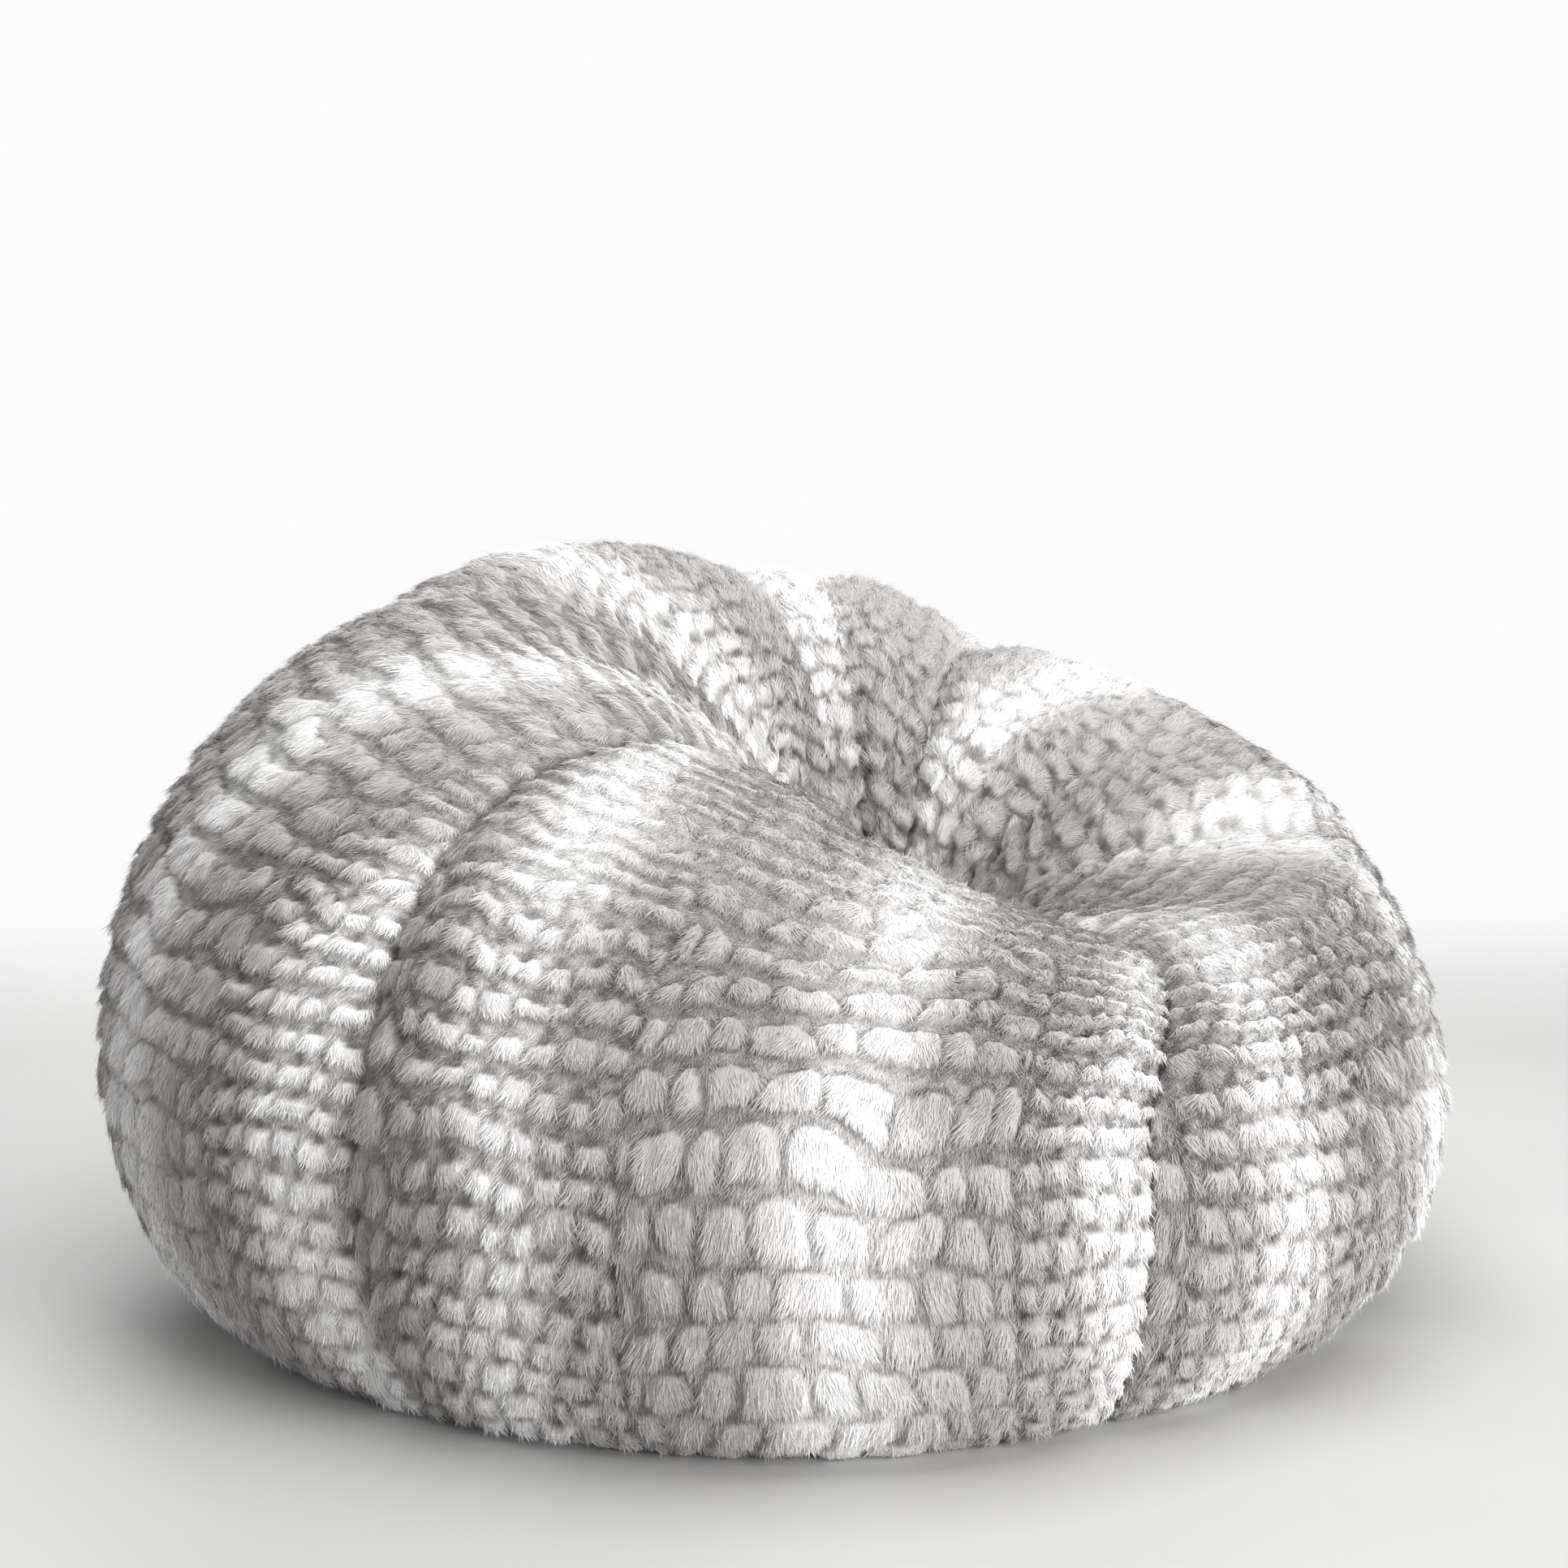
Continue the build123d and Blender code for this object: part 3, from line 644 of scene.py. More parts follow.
def pile(gore, cloth):
    """Hairs spread evenly over a gore, each one triangle that lies down the nap and is lifted off the cloth.

    Roots follow steps of the inverse plastic number and its square, which fill a square evenly. A hair on a
    tuft ends just past the tuft's lip, and one in the low band is short and stands up.
    """
    chance = np.random.default_rng(40 + gore)
    count = np.arange(HAIRS)
    s = (0.5 + count * ROOT_STEP_ACROSS) % 1.0
    share = (0.5 + count * ROOT_STEP_UP) % 1.0
    area = np.concatenate([[0.0], np.cumsum(0.5 * (cloth.wide[1:] + cloth.wide[:-1]) * np.diff(cloth.up))])
    v = np.interp(share, area / area[-1], cloth.v)
    up = cloth.up_at(v)
    width = cloth.width_at(v)
    across = (s - 0.5) * width
    step_s = 0.002 * np.where(s > 0.5, -1.0, 1.0)
    step_v = 0.002 * np.where(v > 2.0, -1.0, 1.0)
    points = gore_skin(gore, s, v, BACKING_INSET)
    along_s = unit((gore_skin(gore, s + step_s, v, BACKING_INSET) - points) / step_s[:, None])
    along_v = unit((gore_skin(gore, s, v + step_v, BACKING_INSET) - points) / step_v[:, None])
    normal = unit(np.cross(along_s, along_v))
    side = unit(np.cross(along_v, normal))
    lie = tufts(across, up, v, gore)
    fade = seam_fade(s, v, width)
    on_face = (lie.to_lip > 0.0) & (lie.to_top > -0.001)
    low_hair = ~on_face | (lie.on_tuft < 0.3)
    roll = chance.random((7, HAIRS))
    length = np.where(low_hair, 0.0050 + 0.003 * roll[0], 0.0072 + 0.0045 * roll[0])
    lift = np.where(low_hair, 0.30 + 0.35 * roll[1], 0.06 + 0.20 * roll[1]) + 0.12 * lie.loose
    near_lip = ease(lie.to_lip, 0.008, 0.0) * on_face
    stray = (roll[6] < 0.11) * (0.15 + 0.40 * roll[4])
    lift = (lift + 0.10 * near_lip) * (1.0 - 0.85 * lie.crest) + stray
    over_top = np.where(lie.to_top < 0.0, 0.001 - lie.to_top, lie.rise * lie.pitch + 0.001)
    room = np.where(on_face, lie.to_lip + 0.0005 + 0.0035 * roll[4], over_top)
    length = np.minimum(length, np.maximum(room / np.cos(lift), 0.0040))
    wander = (roll[2] - 0.5) * np.where(lie.small, 0.8, 0.5)
    wander = wander + lie.fan * np.where(lie.small, 0.9, 0.45) + 0.7 * lie.lean
    wander = wander + (0.25 + 0.40 * lie.loose) * drift(across * 110, up * 70, 69 + gore)
    way = -along_v * np.cos(lift)[:, None] + normal * np.sin(lift)[:, None]
    way = unit(way + side * (wander * np.cos(lift))[:, None])
    across_hair = unit(np.cross(way, normal) + normal * ((roll[3] - 0.5) * 0.7)[:, None])
    half = (0.00037 + 0.00020 * roll[4])[:, None]
    tall = above_floor(points, normal, lie.height * fade)
    root = points + normal * (tall - 0.0008 + 0.0016 * roll[5] * fade)[:, None]
    tip = root + way * length[:, None]
    corners, faces = hair_corners(root, across_hair * half, tip, normal)
    corners[..., 2] = np.maximum(corners[..., 2], 0.0002 + 0.0008 * roll[5][:, None])
    piece = make_piece(f"fur_pile_{GORES[gore]}", corners, faces, [fur_pile], smooth=False)
    # Painted shade along each hair: dark root, light tip on a tuft's face, darker by seams and the base edge.
    tip_up = np.maximum(up - length * np.cos(lift), 0.0)
    tip_painted_shade = tufts(across + wander * length, tip_up, cloth.v_at(tip_up), gore).depth
    face_painted_shade = np.maximum(tip_painted_shade, 0.82 + 0.16 * roll[1])
    tip_painted_shade = np.where(on_face, face_painted_shade, 0.5 * (lie.depth + tip_painted_shade))
    root_painted_shade = lie.depth * (0.80 + 0.12 * np.maximum(lie.stripe, ease(v, 1.3, 1.8)))
    depth = join(root_painted_shade, root_painted_shade, tip_painted_shade) * (0.6 + 0.4 * fade)[:, None]
    add_numbers(piece, stripe=np.repeat(lie.stripe, 3), depth=depth, shade=np.repeat(roll[5], 3))
    foot = join(across, up)
    end = foot - join(0.0, length)
    ends = np.stack([foot + [0.0006, 0.0], foot - [0.0006, 0.0], end], axis=1)
    add_map(piece, "OFBake", on_map(ends[..., 0], ends[..., 1]), faces)
    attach(piece, "bag")


cloths = [GoreCloth(gore) for gore in range(6)]
for gore, cloth in enumerate(cloths):
    undercoat(gore, cloth)
    pile(gore, cloth)


# Crown cap at the bottom of the pit
def round_places(count):
    """A square net of count by count places pressed into a round: each side bulges by the other's square."""
    side = np.linspace(-1.0, 1.0, count)
    first, second = np.meshgrid(side, side)
    return first * np.sqrt(1 - 0.5 * second**2), second * np.sqrt(1 - 0.5 * first**2)


def thicken(piece, thickness):
    """Cloth of one thickness, laid on the inner side of the surface."""
    layer = piece.modifiers.new("thickness", "SOLIDIFY")
    layer.thickness = thickness
    layer.offset = -1.0


CROWN_HAIRS = 9000
CROWN_MAP_WIDE = 0.14


def crown_form(first, second):
    """Height, stripe and painted shade of the gathered crown at places in a unit round.

    Pleats are cosines of the bearing that grow from the middle to the edge, on a dome of the radius squared.
    """
    share = np.minimum(np.hypot(first, second), 1.0)
    turn = np.arctan2(second, first)
    bend = turn + 0.35 * drift(first * 2, second * 2, 75)
    pleat = (np.cos(11 * bend) + 0.6 * np.cos(7 * bend + 1.0)) * ease(share, 0.05, 0.5)
    height = 0.006 * (1 - share**2) + 0.0020 * pleat + 0.0012 * drift(first * 9, second * 9, 73)
    stripe = np.clip(0.30 + 0.35 * np.cos(6 * bend + 0.6) * ease(share, 0.1, 0.6), 0.0, 1.0)
    # Painted shade: darker in the pleats' hollows and in the middle of the crown.
    depth = 0.60 + 0.16 * pleat - 0.30 * (1 - ease(share, 0.0, 0.22))
    return height, stripe, np.clip(depth, 0.15, 1.0)


def crown_cap():
    """A round of the same fur where the gores are gathered, and the hairs on it that point to the middle."""
    low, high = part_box("crown_cap")
    radius = 0.5 * (high.x - low.x)
    first, second = round_places(61)
    height, stripe, depth = crown_form(first, second)
    points = join(SEAT_X + radius * first, SEAT_Y + radius * second, high.z - 0.007 + height)
    faces = grid_faces(61, 61)
    piece = make_piece("fur_crown_cap", points, faces, [fur_undercoat])
    add_numbers(piece, stripe=stripe, depth=depth)
    flat = join(radius * first, radius * second)
    add_map(piece, "cloth", flat, faces)
    add_map(piece, "OFBake", flat / CROWN_MAP_WIDE + 0.5, faces)
    thicken(piece, 0.004)
    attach(piece, "bag")
    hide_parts("crown_cap")

    chance = np.random.default_rng(50)
    roll = chance.random((6, CROWN_HAIRS))
    share = np.sqrt(roll[0]) * 0.97
    turn = 2 * np.pi * roll[1]
    first = share * np.cos(turn)
    second = share * np.sin(turn)
    height, stripe, depth = crown_form(first, second)
    root = join(SEAT_X + radius * first, SEAT_Y + radius * second, high.z - 0.0075 + height)
    turn = turn + np.pi + 1.2 * (roll[2] - 0.5)
    lift = 0.15 + 0.45 * roll[3]
    way = join(np.cos(turn) * np.cos(lift), np.sin(turn) * np.cos(lift), np.sin(lift))
    side = join(-np.sin(turn), np.cos(turn), 0.6 * (roll[4] - 0.5)) * 0.0005
    length = (0.006 + 0.004 * roll[5]) * (0.5 + 0.5 * share)
    upwards = np.broadcast_to([0.0, 0.0, 1.0], root.shape)
    corners, faces = hair_corners(root, side, root + way * length[:, None], upwards)
    piece = make_piece("fur_crown_pile", corners, faces, [fur_pile], smooth=False)
    # Painted shade along each hair: darker at its root, lighter at its tip.
    tip = np.minimum(depth + 0.25, 1.0)
    depth = join(0.8 * depth, 0.8 * depth, tip)
    add_numbers(piece, stripe=np.repeat(stripe, 3), depth=depth, shade=np.repeat(roll[5], 3))
    flat = corners[..., :2] - [SEAT_X, SEAT_Y]
    add_map(piece, "OFBake", flat / CROWN_MAP_WIDE + 0.5, faces)
    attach(piece, "bag")


crown_cap()


# Cloths of the base, the liner and the zip tapes
def weave_group():
    """Threads over and under: two sets of sine ribs, one passing over where the other passes under.

    Slant shifts each row of crossings by its share of a thread, so 0 is a plain weave and 0.25 a twill.
    """
    group, given, made = new_group(
        "weave",
        [("Vector", "NodeSocketVector", None), ("Threads", "NodeSocketFloat", 1200.0),
         ("Slant", "NodeSocketFloat", 0.0), ("Slub", "NodeSocketFloat", 0.3)],
        [("Height", "NodeSocketFloat"), ("Shade", "NodeSocketFloat")],
    )
    apart = place_node(group, "ShaderNodeSeparateXYZ", Vector=given["Vector"]).outputs
    numbers, ribs = [], []
    for axis in (0, 1):
        thread = calculate(group, "MULTIPLY", apart[axis], given["Threads"])
        wave = calculate(group, "SINE", calculate(group, "MULTIPLY", thread, np.pi))
        ribs.append(calculate(group, "ABSOLUTE", wave))
        numbers.append(calculate(group, "FLOOR", thread))
    column, row = numbers
    slanted = calculate(group, "MULTIPLY", row, calculate(group, "ADD", given["Slant"], 0.5))
    crossing = calculate(group, "ADD", slanted, calculate(group, "MULTIPLY", column, 0.5))
    cross = calculate(group, "FRACT", crossing)
    over = calculate(group, "GREATER_THAN", cross, 0.25)
    high = calculate(group, "MULTIPLY", over, ribs[0])
    under = calculate(group, "MULTIPLY", calculate(group, "SUBTRACT", 1.0, over), ribs[1])
    height = calculate(group, "ADD", high, under)
    lump = calculate(group, "MULTIPLY", noise(group, given["Vector"], 160.0, 4.0), given["Slub"])
    height = calculate(group, "ADD", height, lump)
    # Shade, from the height, is painted shade: low where the threads dip between crossings.
    feed(made, Height=height, Shade=calculate(group, "MULTIPLY", height, 0.7, clamp=True))
    return group


weave = weave_group()


def cloth_material(name, dark, light, threads, slant, slub, place="Object"):
    """Woven cloth: painted shade between the threads and light on them, with soft stains of a larger noise.
    """
    material, tree, shader = new_material(name, Roughness=0.88, Specular_IOR_Level=0.2, Sheen_Weight=0.12)
    if place == "Object":
        where = object_places(tree)
    else:
        where = place_node(tree, "ShaderNodeUVMap", {"uv_map": place}).outputs[0]
    threads_made = use_group(tree, weave, Vector=where, Threads=threads, Slant=slant, Slub=slub)
    # Painted shade: the dark colour where the threads dip, the light one on their crowns.
    colour = colour_ramp(tree, threads_made["Shade"], [(0.1, dark), (0.85, light)])
    stains = [(0.3, (0.90, 0.90, 0.89)), (0.65, (1.0, 1.0, 1.0))]
    soft = colour_ramp(tree, noise(tree, where, 9.0, 4.0), stains)
    feed(shader, Base_Color=blend_colours(tree, "MULTIPLY", 1.0, colour, soft))
    raise_surface(tree, shader, threads_made["Height"], 0.0004, 0.7)
    return material


base_twill = cloth_material("base_twill", (0.19, 0.185, 0.18), (0.40, 0.39, 0.38), 900.0, 0.25, 0.4)
COTTON = ((0.66, 0.65, 0.61), (0.88, 0.87, 0.84), 1100.0, 0.0, 0.5)
liner_cotton = cloth_material("liner_cotton", *COTTON, "cloth")
liner_floor_cotton = cloth_material("liner_floor_cotton", *COTTON)
tape_weave = cloth_material("zip_tape_weave", (0.16, 0.155, 0.15), (0.36, 0.35, 0.34), 1500.0, 0.25, 0.2)
thread_cotton = cloth_material("sewing_thread", (0.30, 0.29, 0.28), (0.58, 0.57, 0.56), 2500.0, 0.25, 0.2)

slider_low, slider_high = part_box("zip_slider")
SLOT_HALF = 0.5 * (slider_high.y - slider_low.y) + 0.0015
SLOT_END = 0.258
LIP_END = 0.274
LIP_HALF = 0.0196
BASE_EDGE = 0.3976


def tray_height(x, y, run):
    """1 on the lip of the zip's tray, easing to 0 over the run outside it."""
    outside = np.maximum(np.abs(x) - LIP_END, np.abs(y) - LIP_HALF)
    return 1.0 - ease(outside, 0.0, run)


def base_half(name, node, side, floor, cloth, tape_height, run, material):
    """Half a round: lines across from the zip's slot to the edge of the circle, raised into the tray."""
    along = np.concatenate([np.linspace(-BASE_EDGE + 0.0004, -0.28, 18), np.linspace(-0.277, 0.277, 84),
                            np.linspace(0.28, BASE_EDGE - 0.0004, 18)])
    share = np.concatenate([np.linspace(0.0, 0.3, 28), np.linspace(0.34, 1.0, 16)])
    near = 0.0002 + (SLOT_HALF - 0.0002) * (1.0 - ease(np.abs(along), SLOT_END - 0.002, SLOT_END + 0.002))
    far = np.maximum(np.sqrt(np.maximum(BASE_EDGE**2 - along**2, 0.0)), near + 0.001)
    y = near[None, :] + (far - near)[None, :] * share[:, None]
    x = along[None, :] + 0.0 * y
    pucker = 0.0006 * drift(x * 40, y * 40, 83) * (1 - tray_height(x, y, run))
    z = floor + (tape_height - cloth - floor) * tray_height(x, y, run) + np.maximum(pucker, 0.0)
    points = join(x, side * y, z)
    faces = grid_faces(len(share), len(along))
    faces = faces[:, ::-1] if side > 0 else faces
    piece = make_piece(name, points, faces, [material])
    thicken(piece, cloth)
    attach(piece, "bag")
    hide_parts(node)


for side, word in ((-1, "front"), (1, "rear")):
    base_half(f"base_cloth_{word}", f"base_panel_{word}", side, 0.0, 0.0020, 0.010, 0.018,
              base_twill)
    base_half(f"liner_floor_{word}", f"liner_base_{word}", side, LINER_FLOOR, 0.0012, 0.028, 0.030,
              liner_floor_cotton)


def stitching(name, places, ways, length, thick):
    """Short threads: a six-sided spindle, thick by a sine along its length, set along each way."""
    along = np.linspace(-0.5, 0.5, 5)
    turn = np.linspace(0.0, 2 * np.pi, 6, endpoint=False)
    along, turn = spread(along, turn)
    swell = 0.25 + 0.75 * np.sin(np.pi * (along + 0.5))
    shape_along = along.ravel() * length
    shape_side = (swell * np.cos(turn)).ravel() * thick
    shape_up = (swell * np.sin(turn)).ravel() * thick
    sideways = join(-ways[:, 1], ways[:, 0], 0.0)
    upwards = np.array([0.0, 0.0, 1.0])
    points = places[:, None, :] + ways[:, None, :] * shape_along[None, :, None]
    points = points + sideways[:, None, :] * shape_side[None, :, None] + upwards * shape_up[None, :, None]
    ends = np.array([[3, 2, 1, 0], [5, 4, 3, 0], [24, 25, 26, 27], [24, 27, 28, 29]])
    spindle = np.concatenate([tube_faces(5, 6), ends])
    faces = (np.arange(len(places)) * 30)[:, None, None] + spindle[None, :, :]
    piece = make_piece(name, points, faces.reshape(-1, 4), [thread_cotton])
    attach(piece, "bag")


def zip_stitches():
    """Two rows of stitches beside the slot on the tray's lip, and one round the edge of the base."""
    run = np.arange(-0.250, 0.2505, 0.0045)
    rows = [join(run, side * (SLOT_HALF + off), 0.0079) for side in (-1, 1) for off in (0.0025, 0.0085)]
    places = np.concatenate(rows)
    ways = np.tile([1.0, 0.0, 0.0], (len(places), 1))
    stitching("zip_stitches", places, ways, 0.0034, 0.00035)
    turn = np.linspace(0.0, 2 * np.pi, 480, endpoint=False)
    places = join(0.390 * np.cos(turn), 0.390 * np.sin(turn), 0.0004)
    ways = join(-np.sin(turn), np.cos(turn), 0.0)
    stitching("hem_stitches", places, ways, 0.0038, 0.0004)


zip_stitches()


def tape_ribbon(name, node):
    """A zip tape: a ribbon with a raised cord along each edge, closed round its own thickness."""
    low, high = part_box(node)
    steps, sides = 220, 24
    along = np.linspace(low.x, high.x, steps)
    turn = np.linspace(0.0, 2 * np.pi, sides, endpoint=False)
    across = 0.5 * (low.y + high.y) + 0.5 * (high.y - low.y) * np.cos(turn)
    cord = 0.55 + 0.45 * np.exp(-(((np.abs(np.cos(turn)) - 0.86) / 0.10) ** 2))
    bulge = np.sign(np.sin(turn)) * np.abs(np.sin(turn)) ** 0.4
    up = 0.5 * (low.z + high.z) + 0.5 * (high.z - low.z) * cord * bulge
    run, across = spread(along, across)
    points = join(run, across, up)
    faces = tube_faces(steps, sides)[:, [0, 3, 2, 1]]
    half = np.arange(sides // 2 - 1)
    first_end = join(half, half + 1, sides - 2 - half, sides - 1 - half)
    last_end = first_end[:, ::-1] + (steps - 1) * sides
    faces = np.concatenate([faces, first_end, last_end])
    piece = make_piece(name, points, faces, [tape_weave])
    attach(piece, "bag")
    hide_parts(node)


for prefix in ("zip", "liner_zip"):
    for word in ("front", "rear"):
        tape_ribbon(f"{prefix}_ribbon_{word}", f"{prefix}_tape_{word}")


# Liner and beads inside the cover
def liner_gore(gore, cloth):
    """A gore of thin cotton that follows the cover, with the slack of small wrinkles."""
    rows, columns = 91, 37
    up, s, v, width = cloth.net(rows, columns)
    across = (s - 0.5) * width
    wrinkle = 0.0008 * drift(across * 30, up * 12, 91 + gore) * np.sin(np.pi * s)
    inset = LINER_INSET + np.abs(wrinkle)
    points = gore_skin(gore, s, v, inset, floor=LINER_FLOOR, pit_floor=LINER_PIT_FLOOR)
    faces = grid_faces(rows, columns)
    piece = make_piece(f"liner_gore_{GORES[gore]}", points, faces, [liner_cotton])
    add_map(piece, "cloth", join(across, up), faces)
    thicken(piece, 0.0006)
    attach(piece, "bag")
    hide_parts(f"liner_panel_{GORES[gore]}")


def liner_crown():
    """A round of cotton under the crown cap."""
    low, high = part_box("liner_crown")
    radius = 0.5 * (high.x - low.x)
    first, second = round_places(21)
    pucker = 0.0003 * drift(first * 6, second * 6, 97)
    points = join(SEAT_X + radius * first, SEAT_Y + radius * second, high.z - 0.0003 + pucker)
    piece = make_piece("liner_round", points, grid_faces(21, 21), [liner_floor_cotton])
    thicken(piece, 0.0008)
    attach(piece, "bag")
    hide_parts("liner_crown")


def bead_material():
    """Loose beads: round cells of a Voronoi net, raised in the middle, with painted shade where they meet."""
    material, tree, shader = new_material("bead_fill", Roughness=0.55, Specular_IOR_Level=0.35)
    where = object_places(tree)
    cells = place_node(tree, "ShaderNodeTexVoronoi", {"feature": "F1"}, Vector=where, Scale=240.0)
    # Painted shade: white in each bead's middle, grey where the beads meet.
    stops = [(0.25, (0.93, 0.93, 0.93)), (0.75, (0.60, 0.60, 0.60))]
    feed(shader, Base_Color=colour_ramp(tree, cells.outputs["Distance"], stops))
    dome = calculate(tree, "SUBTRACT", 1.0, cells.outputs["Distance"])
    raise_surface(tree, shader, dome, 0.003, 0.8)
    return material


def bead_fill():
    """The beads' outer surface: the gores' skin closed round all bearings, with a fan to a point at each end.

    Underneath, rings of shrinking size rise by a smooth step over the liner's tray and its slider.
    """
    columns = 16
    v = np.concatenate([np.linspace(0.0, 3.0, 76), np.linspace(3.2, 4.0, 5)])
    s = np.linspace(0.0, 1.0, columns, endpoint=False)
    v, s = spread(v, s)
    bands = [gore_skin(gore, s, v, FILL_INSET + 0.001, floor=FILL_FLOOR, pit_floor=FILL_PIT_FLOOR)
             for gore in range(6)]
    rings = np.concatenate(bands, axis=1)
    around = rings.shape[1]
    shares = np.linspace(0.03, 0.97, 26)[:, None]
    under_x = shares * rings[0, :, 0]
    under_y = shares * rings[0, :, 1]
    outside = np.maximum(np.abs(under_x) - 0.292, np.abs(under_y) - 0.038)
    under_z = FILL_FLOOR + FILL_TRAY_RISE * (1.0 - ease(outside, 0.0, 0.03))
    rings = np.concatenate([join(under_x, under_y, under_z), rings], axis=0)
    count = rings.shape[0]
    ends = np.array([[0.0, 0.0, FILL_FLOOR + FILL_TRAY_RISE], [SEAT_X, SEAT_Y, FILL_PIT_FLOOR]])
    points = np.concatenate([rings.reshape(-1, 3), ends])
    cells = tube_faces(count, around)
    lower = cells[:, [0, 1, 2]]
    upper = cells[:, [0, 2, 3]]
    first = np.arange(around)
    after = np.roll(first, -1)
    last = (count - 1) * around
    bottom = join(after, first, len(points) - 2)
    top = join(first + last, after + last, len(points) - 1)
    piece = make_piece("loose_beads", points, np.concatenate([lower, upper, bottom, top]), [bead_material()])
    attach(piece, "bag")
    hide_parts("bead_fill")


for gore, cloth in enumerate(cloths):
    liner_gore(gore, cloth)
liner_crown()
bead_fill()


# Finishes of the zip's solid pieces
def moulded_material(name, dark, light, grain, roughness):
    """Moulded nylon: a fine speckle in colour, gloss and height."""
    material, tree, shader = new_material(name, Specular_IOR_Level=0.4)
    speck = noise(tree, object_places(tree), grain, 5.0, 0.6)
    feed(shader, Base_Color=colour_ramp(tree, speck, [(0.3, dark), (0.7, light)]),
         Roughness=scale_and_add(tree, speck, 0.18, roughness))
    raise_surface(tree, shader, speck, 0.00015, 0.5)
    return material


def lacquer_material():
    """Satin lacquer on die-cast metal: orange peel from a fine noise, worn bright in small scuffs."""
    material, tree, shader = new_material("slider_lacquer", Coat_Weight=0.35, Coat_Roughness=0.25)
    where = object_places(tree)
    peel = noise(tree, where, 900.0, 3.0)
    scuff = noise(tree, where, 260.0, 6.0, 0.7)
    worn = colour_ramp(tree, scuff, [(0.62, (0.0, 0.0, 0.0)), (0.70, (1.0, 1.0, 1.0))])
    colour = blend_colours(tree, "MIX", worn, (0.33, 0.32, 0.31, 1.0), (0.62, 0.61, 0.60, 1.0))
    feed(shader, Base_Color=colour, Metallic=calculate(tree, "MULTIPLY", worn, 0.9),
         Roughness=scale_and_add(tree, peel, 0.2, 0.28))
    raise_surface(tree, shader, peel, 0.0001, 0.4)
    return material


def finish_nodes(material, *names):
    """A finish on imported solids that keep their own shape."""
    for name in names:
        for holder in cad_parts[name].material_slots:
            holder.material = material


coil_nylon = moulded_material("zip_coil_nylon", (0.24, 0.235, 0.23), (0.36, 0.35, 0.34), 1500.0, 0.38)
stop_nylon = moulded_material("zip_stop_nylon", (0.26, 0.255, 0.25), (0.35, 0.34, 0.33), 700.0, 0.45)
slider_lacquer = lacquer_material()
for prefix in ("zip", "liner_zip"):
    finish_nodes(coil_nylon, f"{prefix}_coil_front", f"{prefix}_coil_rear")
    finish_nodes(stop_nylon, f"{prefix}_end_stop", f"{prefix}_top_stops")
    finish_nodes(slider_lacquer, f"{prefix}_slider")


# Studio
def seen_directly(tree):
    """1 for rays from the camera, gloss or glass, and 0 for light that falls on the bag."""
    path = place_node(tree, "ShaderNodeLightPath").outputs
    seen = calculate(tree, "MAXIMUM", path["Is Camera Ray"], path["Is Glossy Ray"])
    return calculate(tree, "MAXIMUM", seen, path["Is Transmission Ray"])


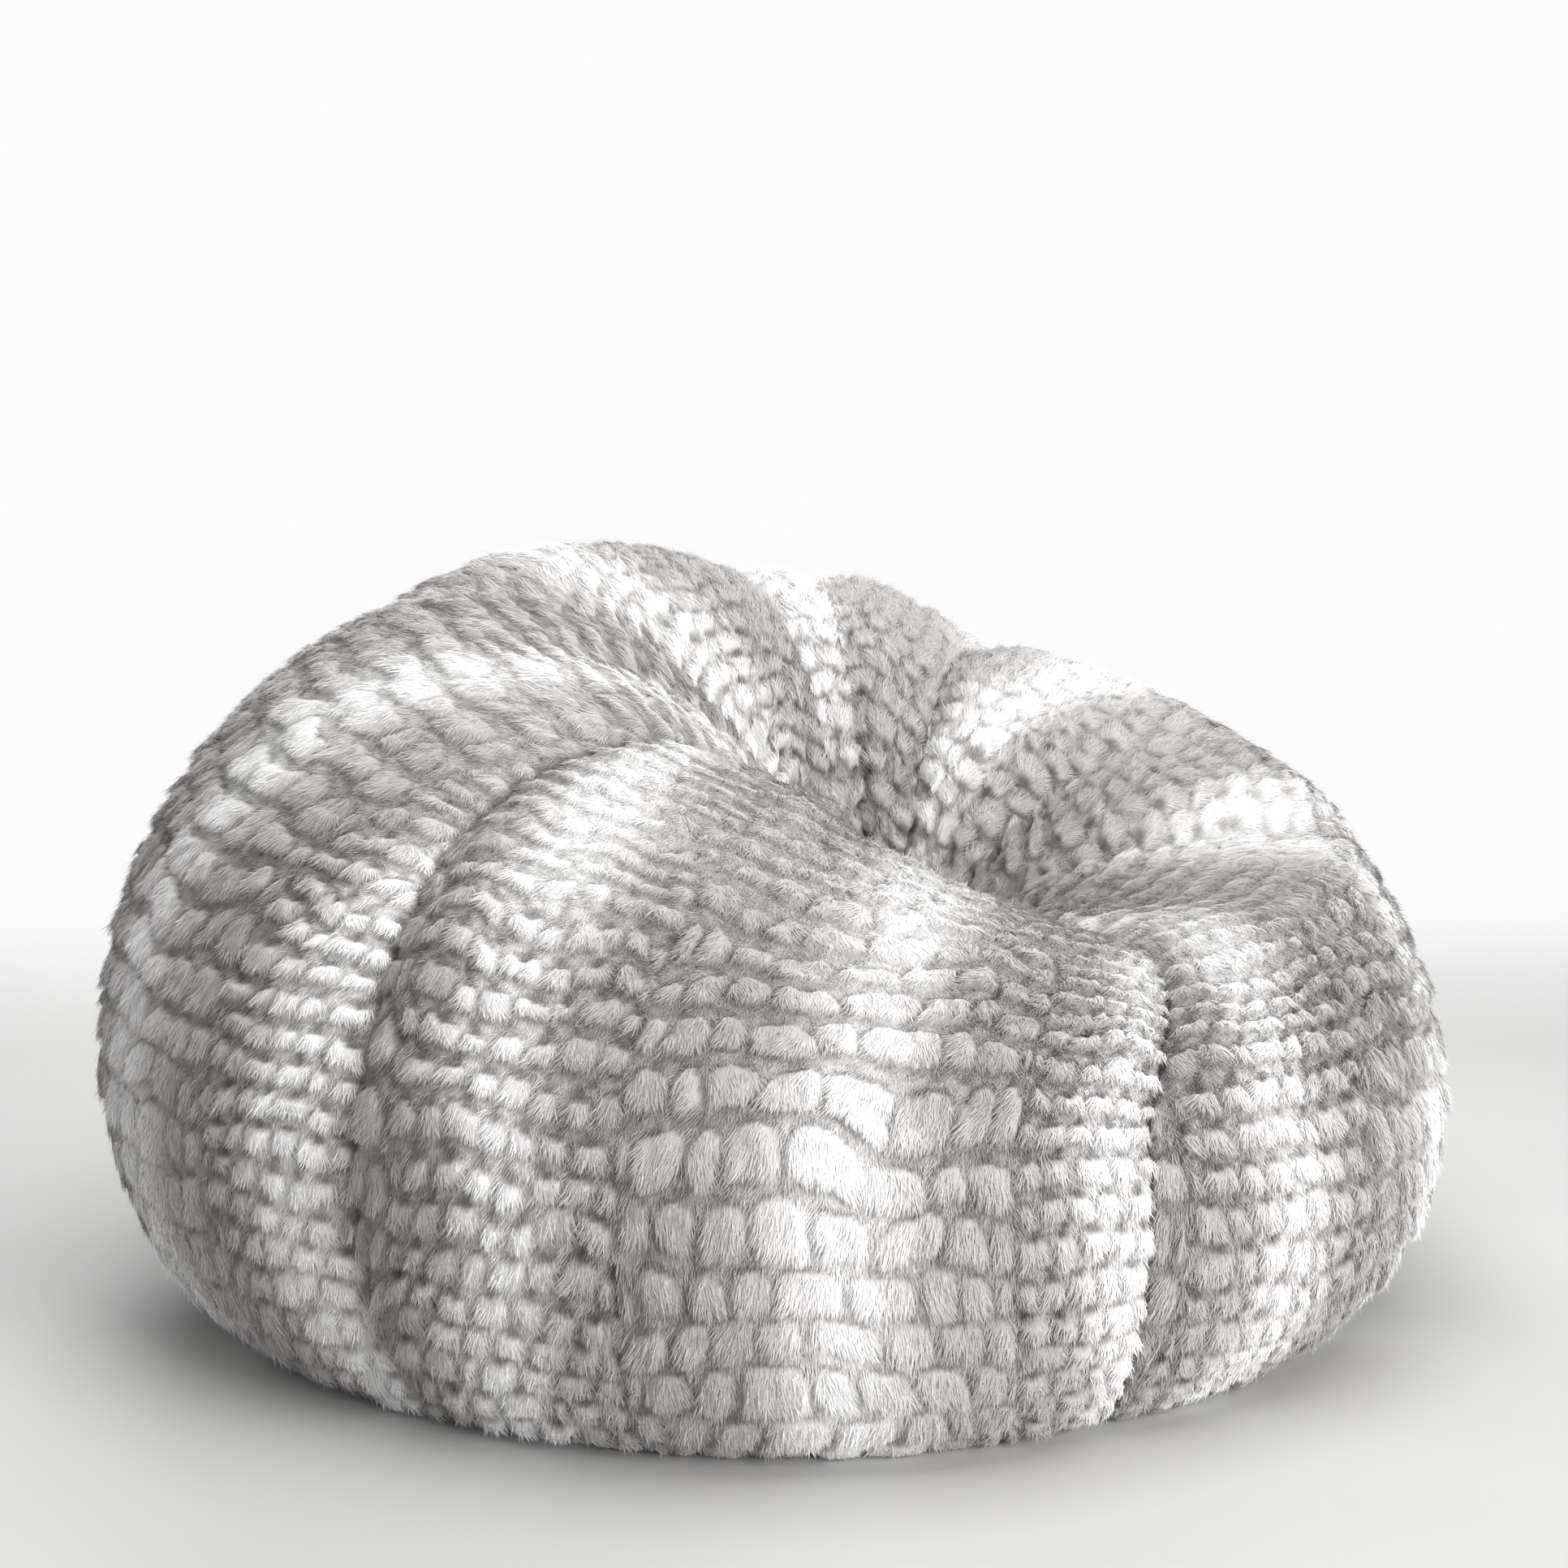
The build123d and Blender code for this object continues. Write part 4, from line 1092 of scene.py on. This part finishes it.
def studio():
    """Wide pale floor that fades to white far from the bag, soft lamps, and the photograph's camera."""
    scene = bpy.context.scene
    scene.view_settings.view_transform = "Standard"
    run = np.linspace(-12.0, 12.0, 25)
    y, x = spread(run, run)
    points = join(x, y, -0.0005)
    material, tree, shader = new_material("studio_floor", Roughness=0.7, Specular_IOR_Level=0.2)
    where = object_places(tree)
    cloud = noise(tree, where, 1.5, 3.0)
    tone = colour_ramp(tree, cloud, [(0.3, (0.55, 0.547, 0.542)), (0.7, (0.59, 0.587, 0.582))])
    feed(shader, Base_Color=tone)
    axes = place_node(tree, "ShaderNodeSeparateXYZ", Vector=where).outputs
    span = place_node(tree, "ShaderNodeVectorMath", {"operation": "LENGTH"}, i0=where).outputs["Value"]
    smooth = {"interpolation_type": "SMOOTHSTEP"}
    behind = place_node(tree, "ShaderNodeMapRange", smooth, Value=axes[1], i1=0.75, i2=1.9).outputs[0]
    around = place_node(tree, "ShaderNodeMapRange", smooth, Value=span, i1=1.7, i2=3.0).outputs[0]
    white = place_node(tree, "ShaderNodeEmission", Color=(1.0, 1.0, 1.0, 1.0), Strength=0.97)
    away = calculate(tree, "MAXIMUM", behind, around)
    share = calculate(tree, "MULTIPLY", away, seen_directly(tree))
    both = place_node(tree, "ShaderNodeMixShader", i0=share, i1=shader.outputs[0], i2=white.outputs[0])
    feed(tree.nodes["Material Output"], Surface=both.outputs[0])
    floor = make_piece("studio_floor", points, grid_faces(len(run), len(run)), [material])

    world = bpy.data.worlds.new("studio_world")
    world.use_nodes = True
    sky = world.node_tree.nodes["Background"]
    sky.inputs["Color"].default_value = (1.0, 1.0, 1.0, 1.0)
    strength = scale_and_add(world.node_tree, seen_directly(world.node_tree), 0.57, 0.40)
    feed(sky, Strength=strength)
    scene.world = world

    add_lamp("key_lamp", (2.1, -2.5, 1.0), (0.15, 0.0, 0.25), 1.8, 114.0)
    add_lamp("top_lamp", (0.3, -0.7, 2.7), (0.1, 0.0, 0.3), 2.2, 51.0)
    add_lamp("fill_lamp", (-2.6, -1.8, 1.0), (0.0, 0.0, 0.25), 2.0, 2.0)
    add_lamp("rear_lamp", (-0.8, 2.8, 1.9), (0.0, 0.1, 0.25), 2.0, 60.0)

    camera = bpy.data.cameras.new("camera")
    camera.sensor_width = 36.0
    camera.lens = 61.9
    holder = add_object("camera", camera)
    holder.location = (0.006, -2.19, 0.68)
    holder.rotation_euler = (np.radians(90.0 - 7.1), 0.0, 0.0)
    scene.camera = holder


def add_lamp(name, place, target, size, power):
    """A square area lamp turned towards a target."""
    lamp = bpy.data.lights.new(name, "AREA")
    lamp.shape = "SQUARE"
    lamp.size = size
    lamp.energy = power
    holder = add_object(name, lamp)
    holder.location = place
    holder.rotation_euler = (Vector(target) - Vector(place)).to_track_quat("-Z", "Y").to_euler()


studio()
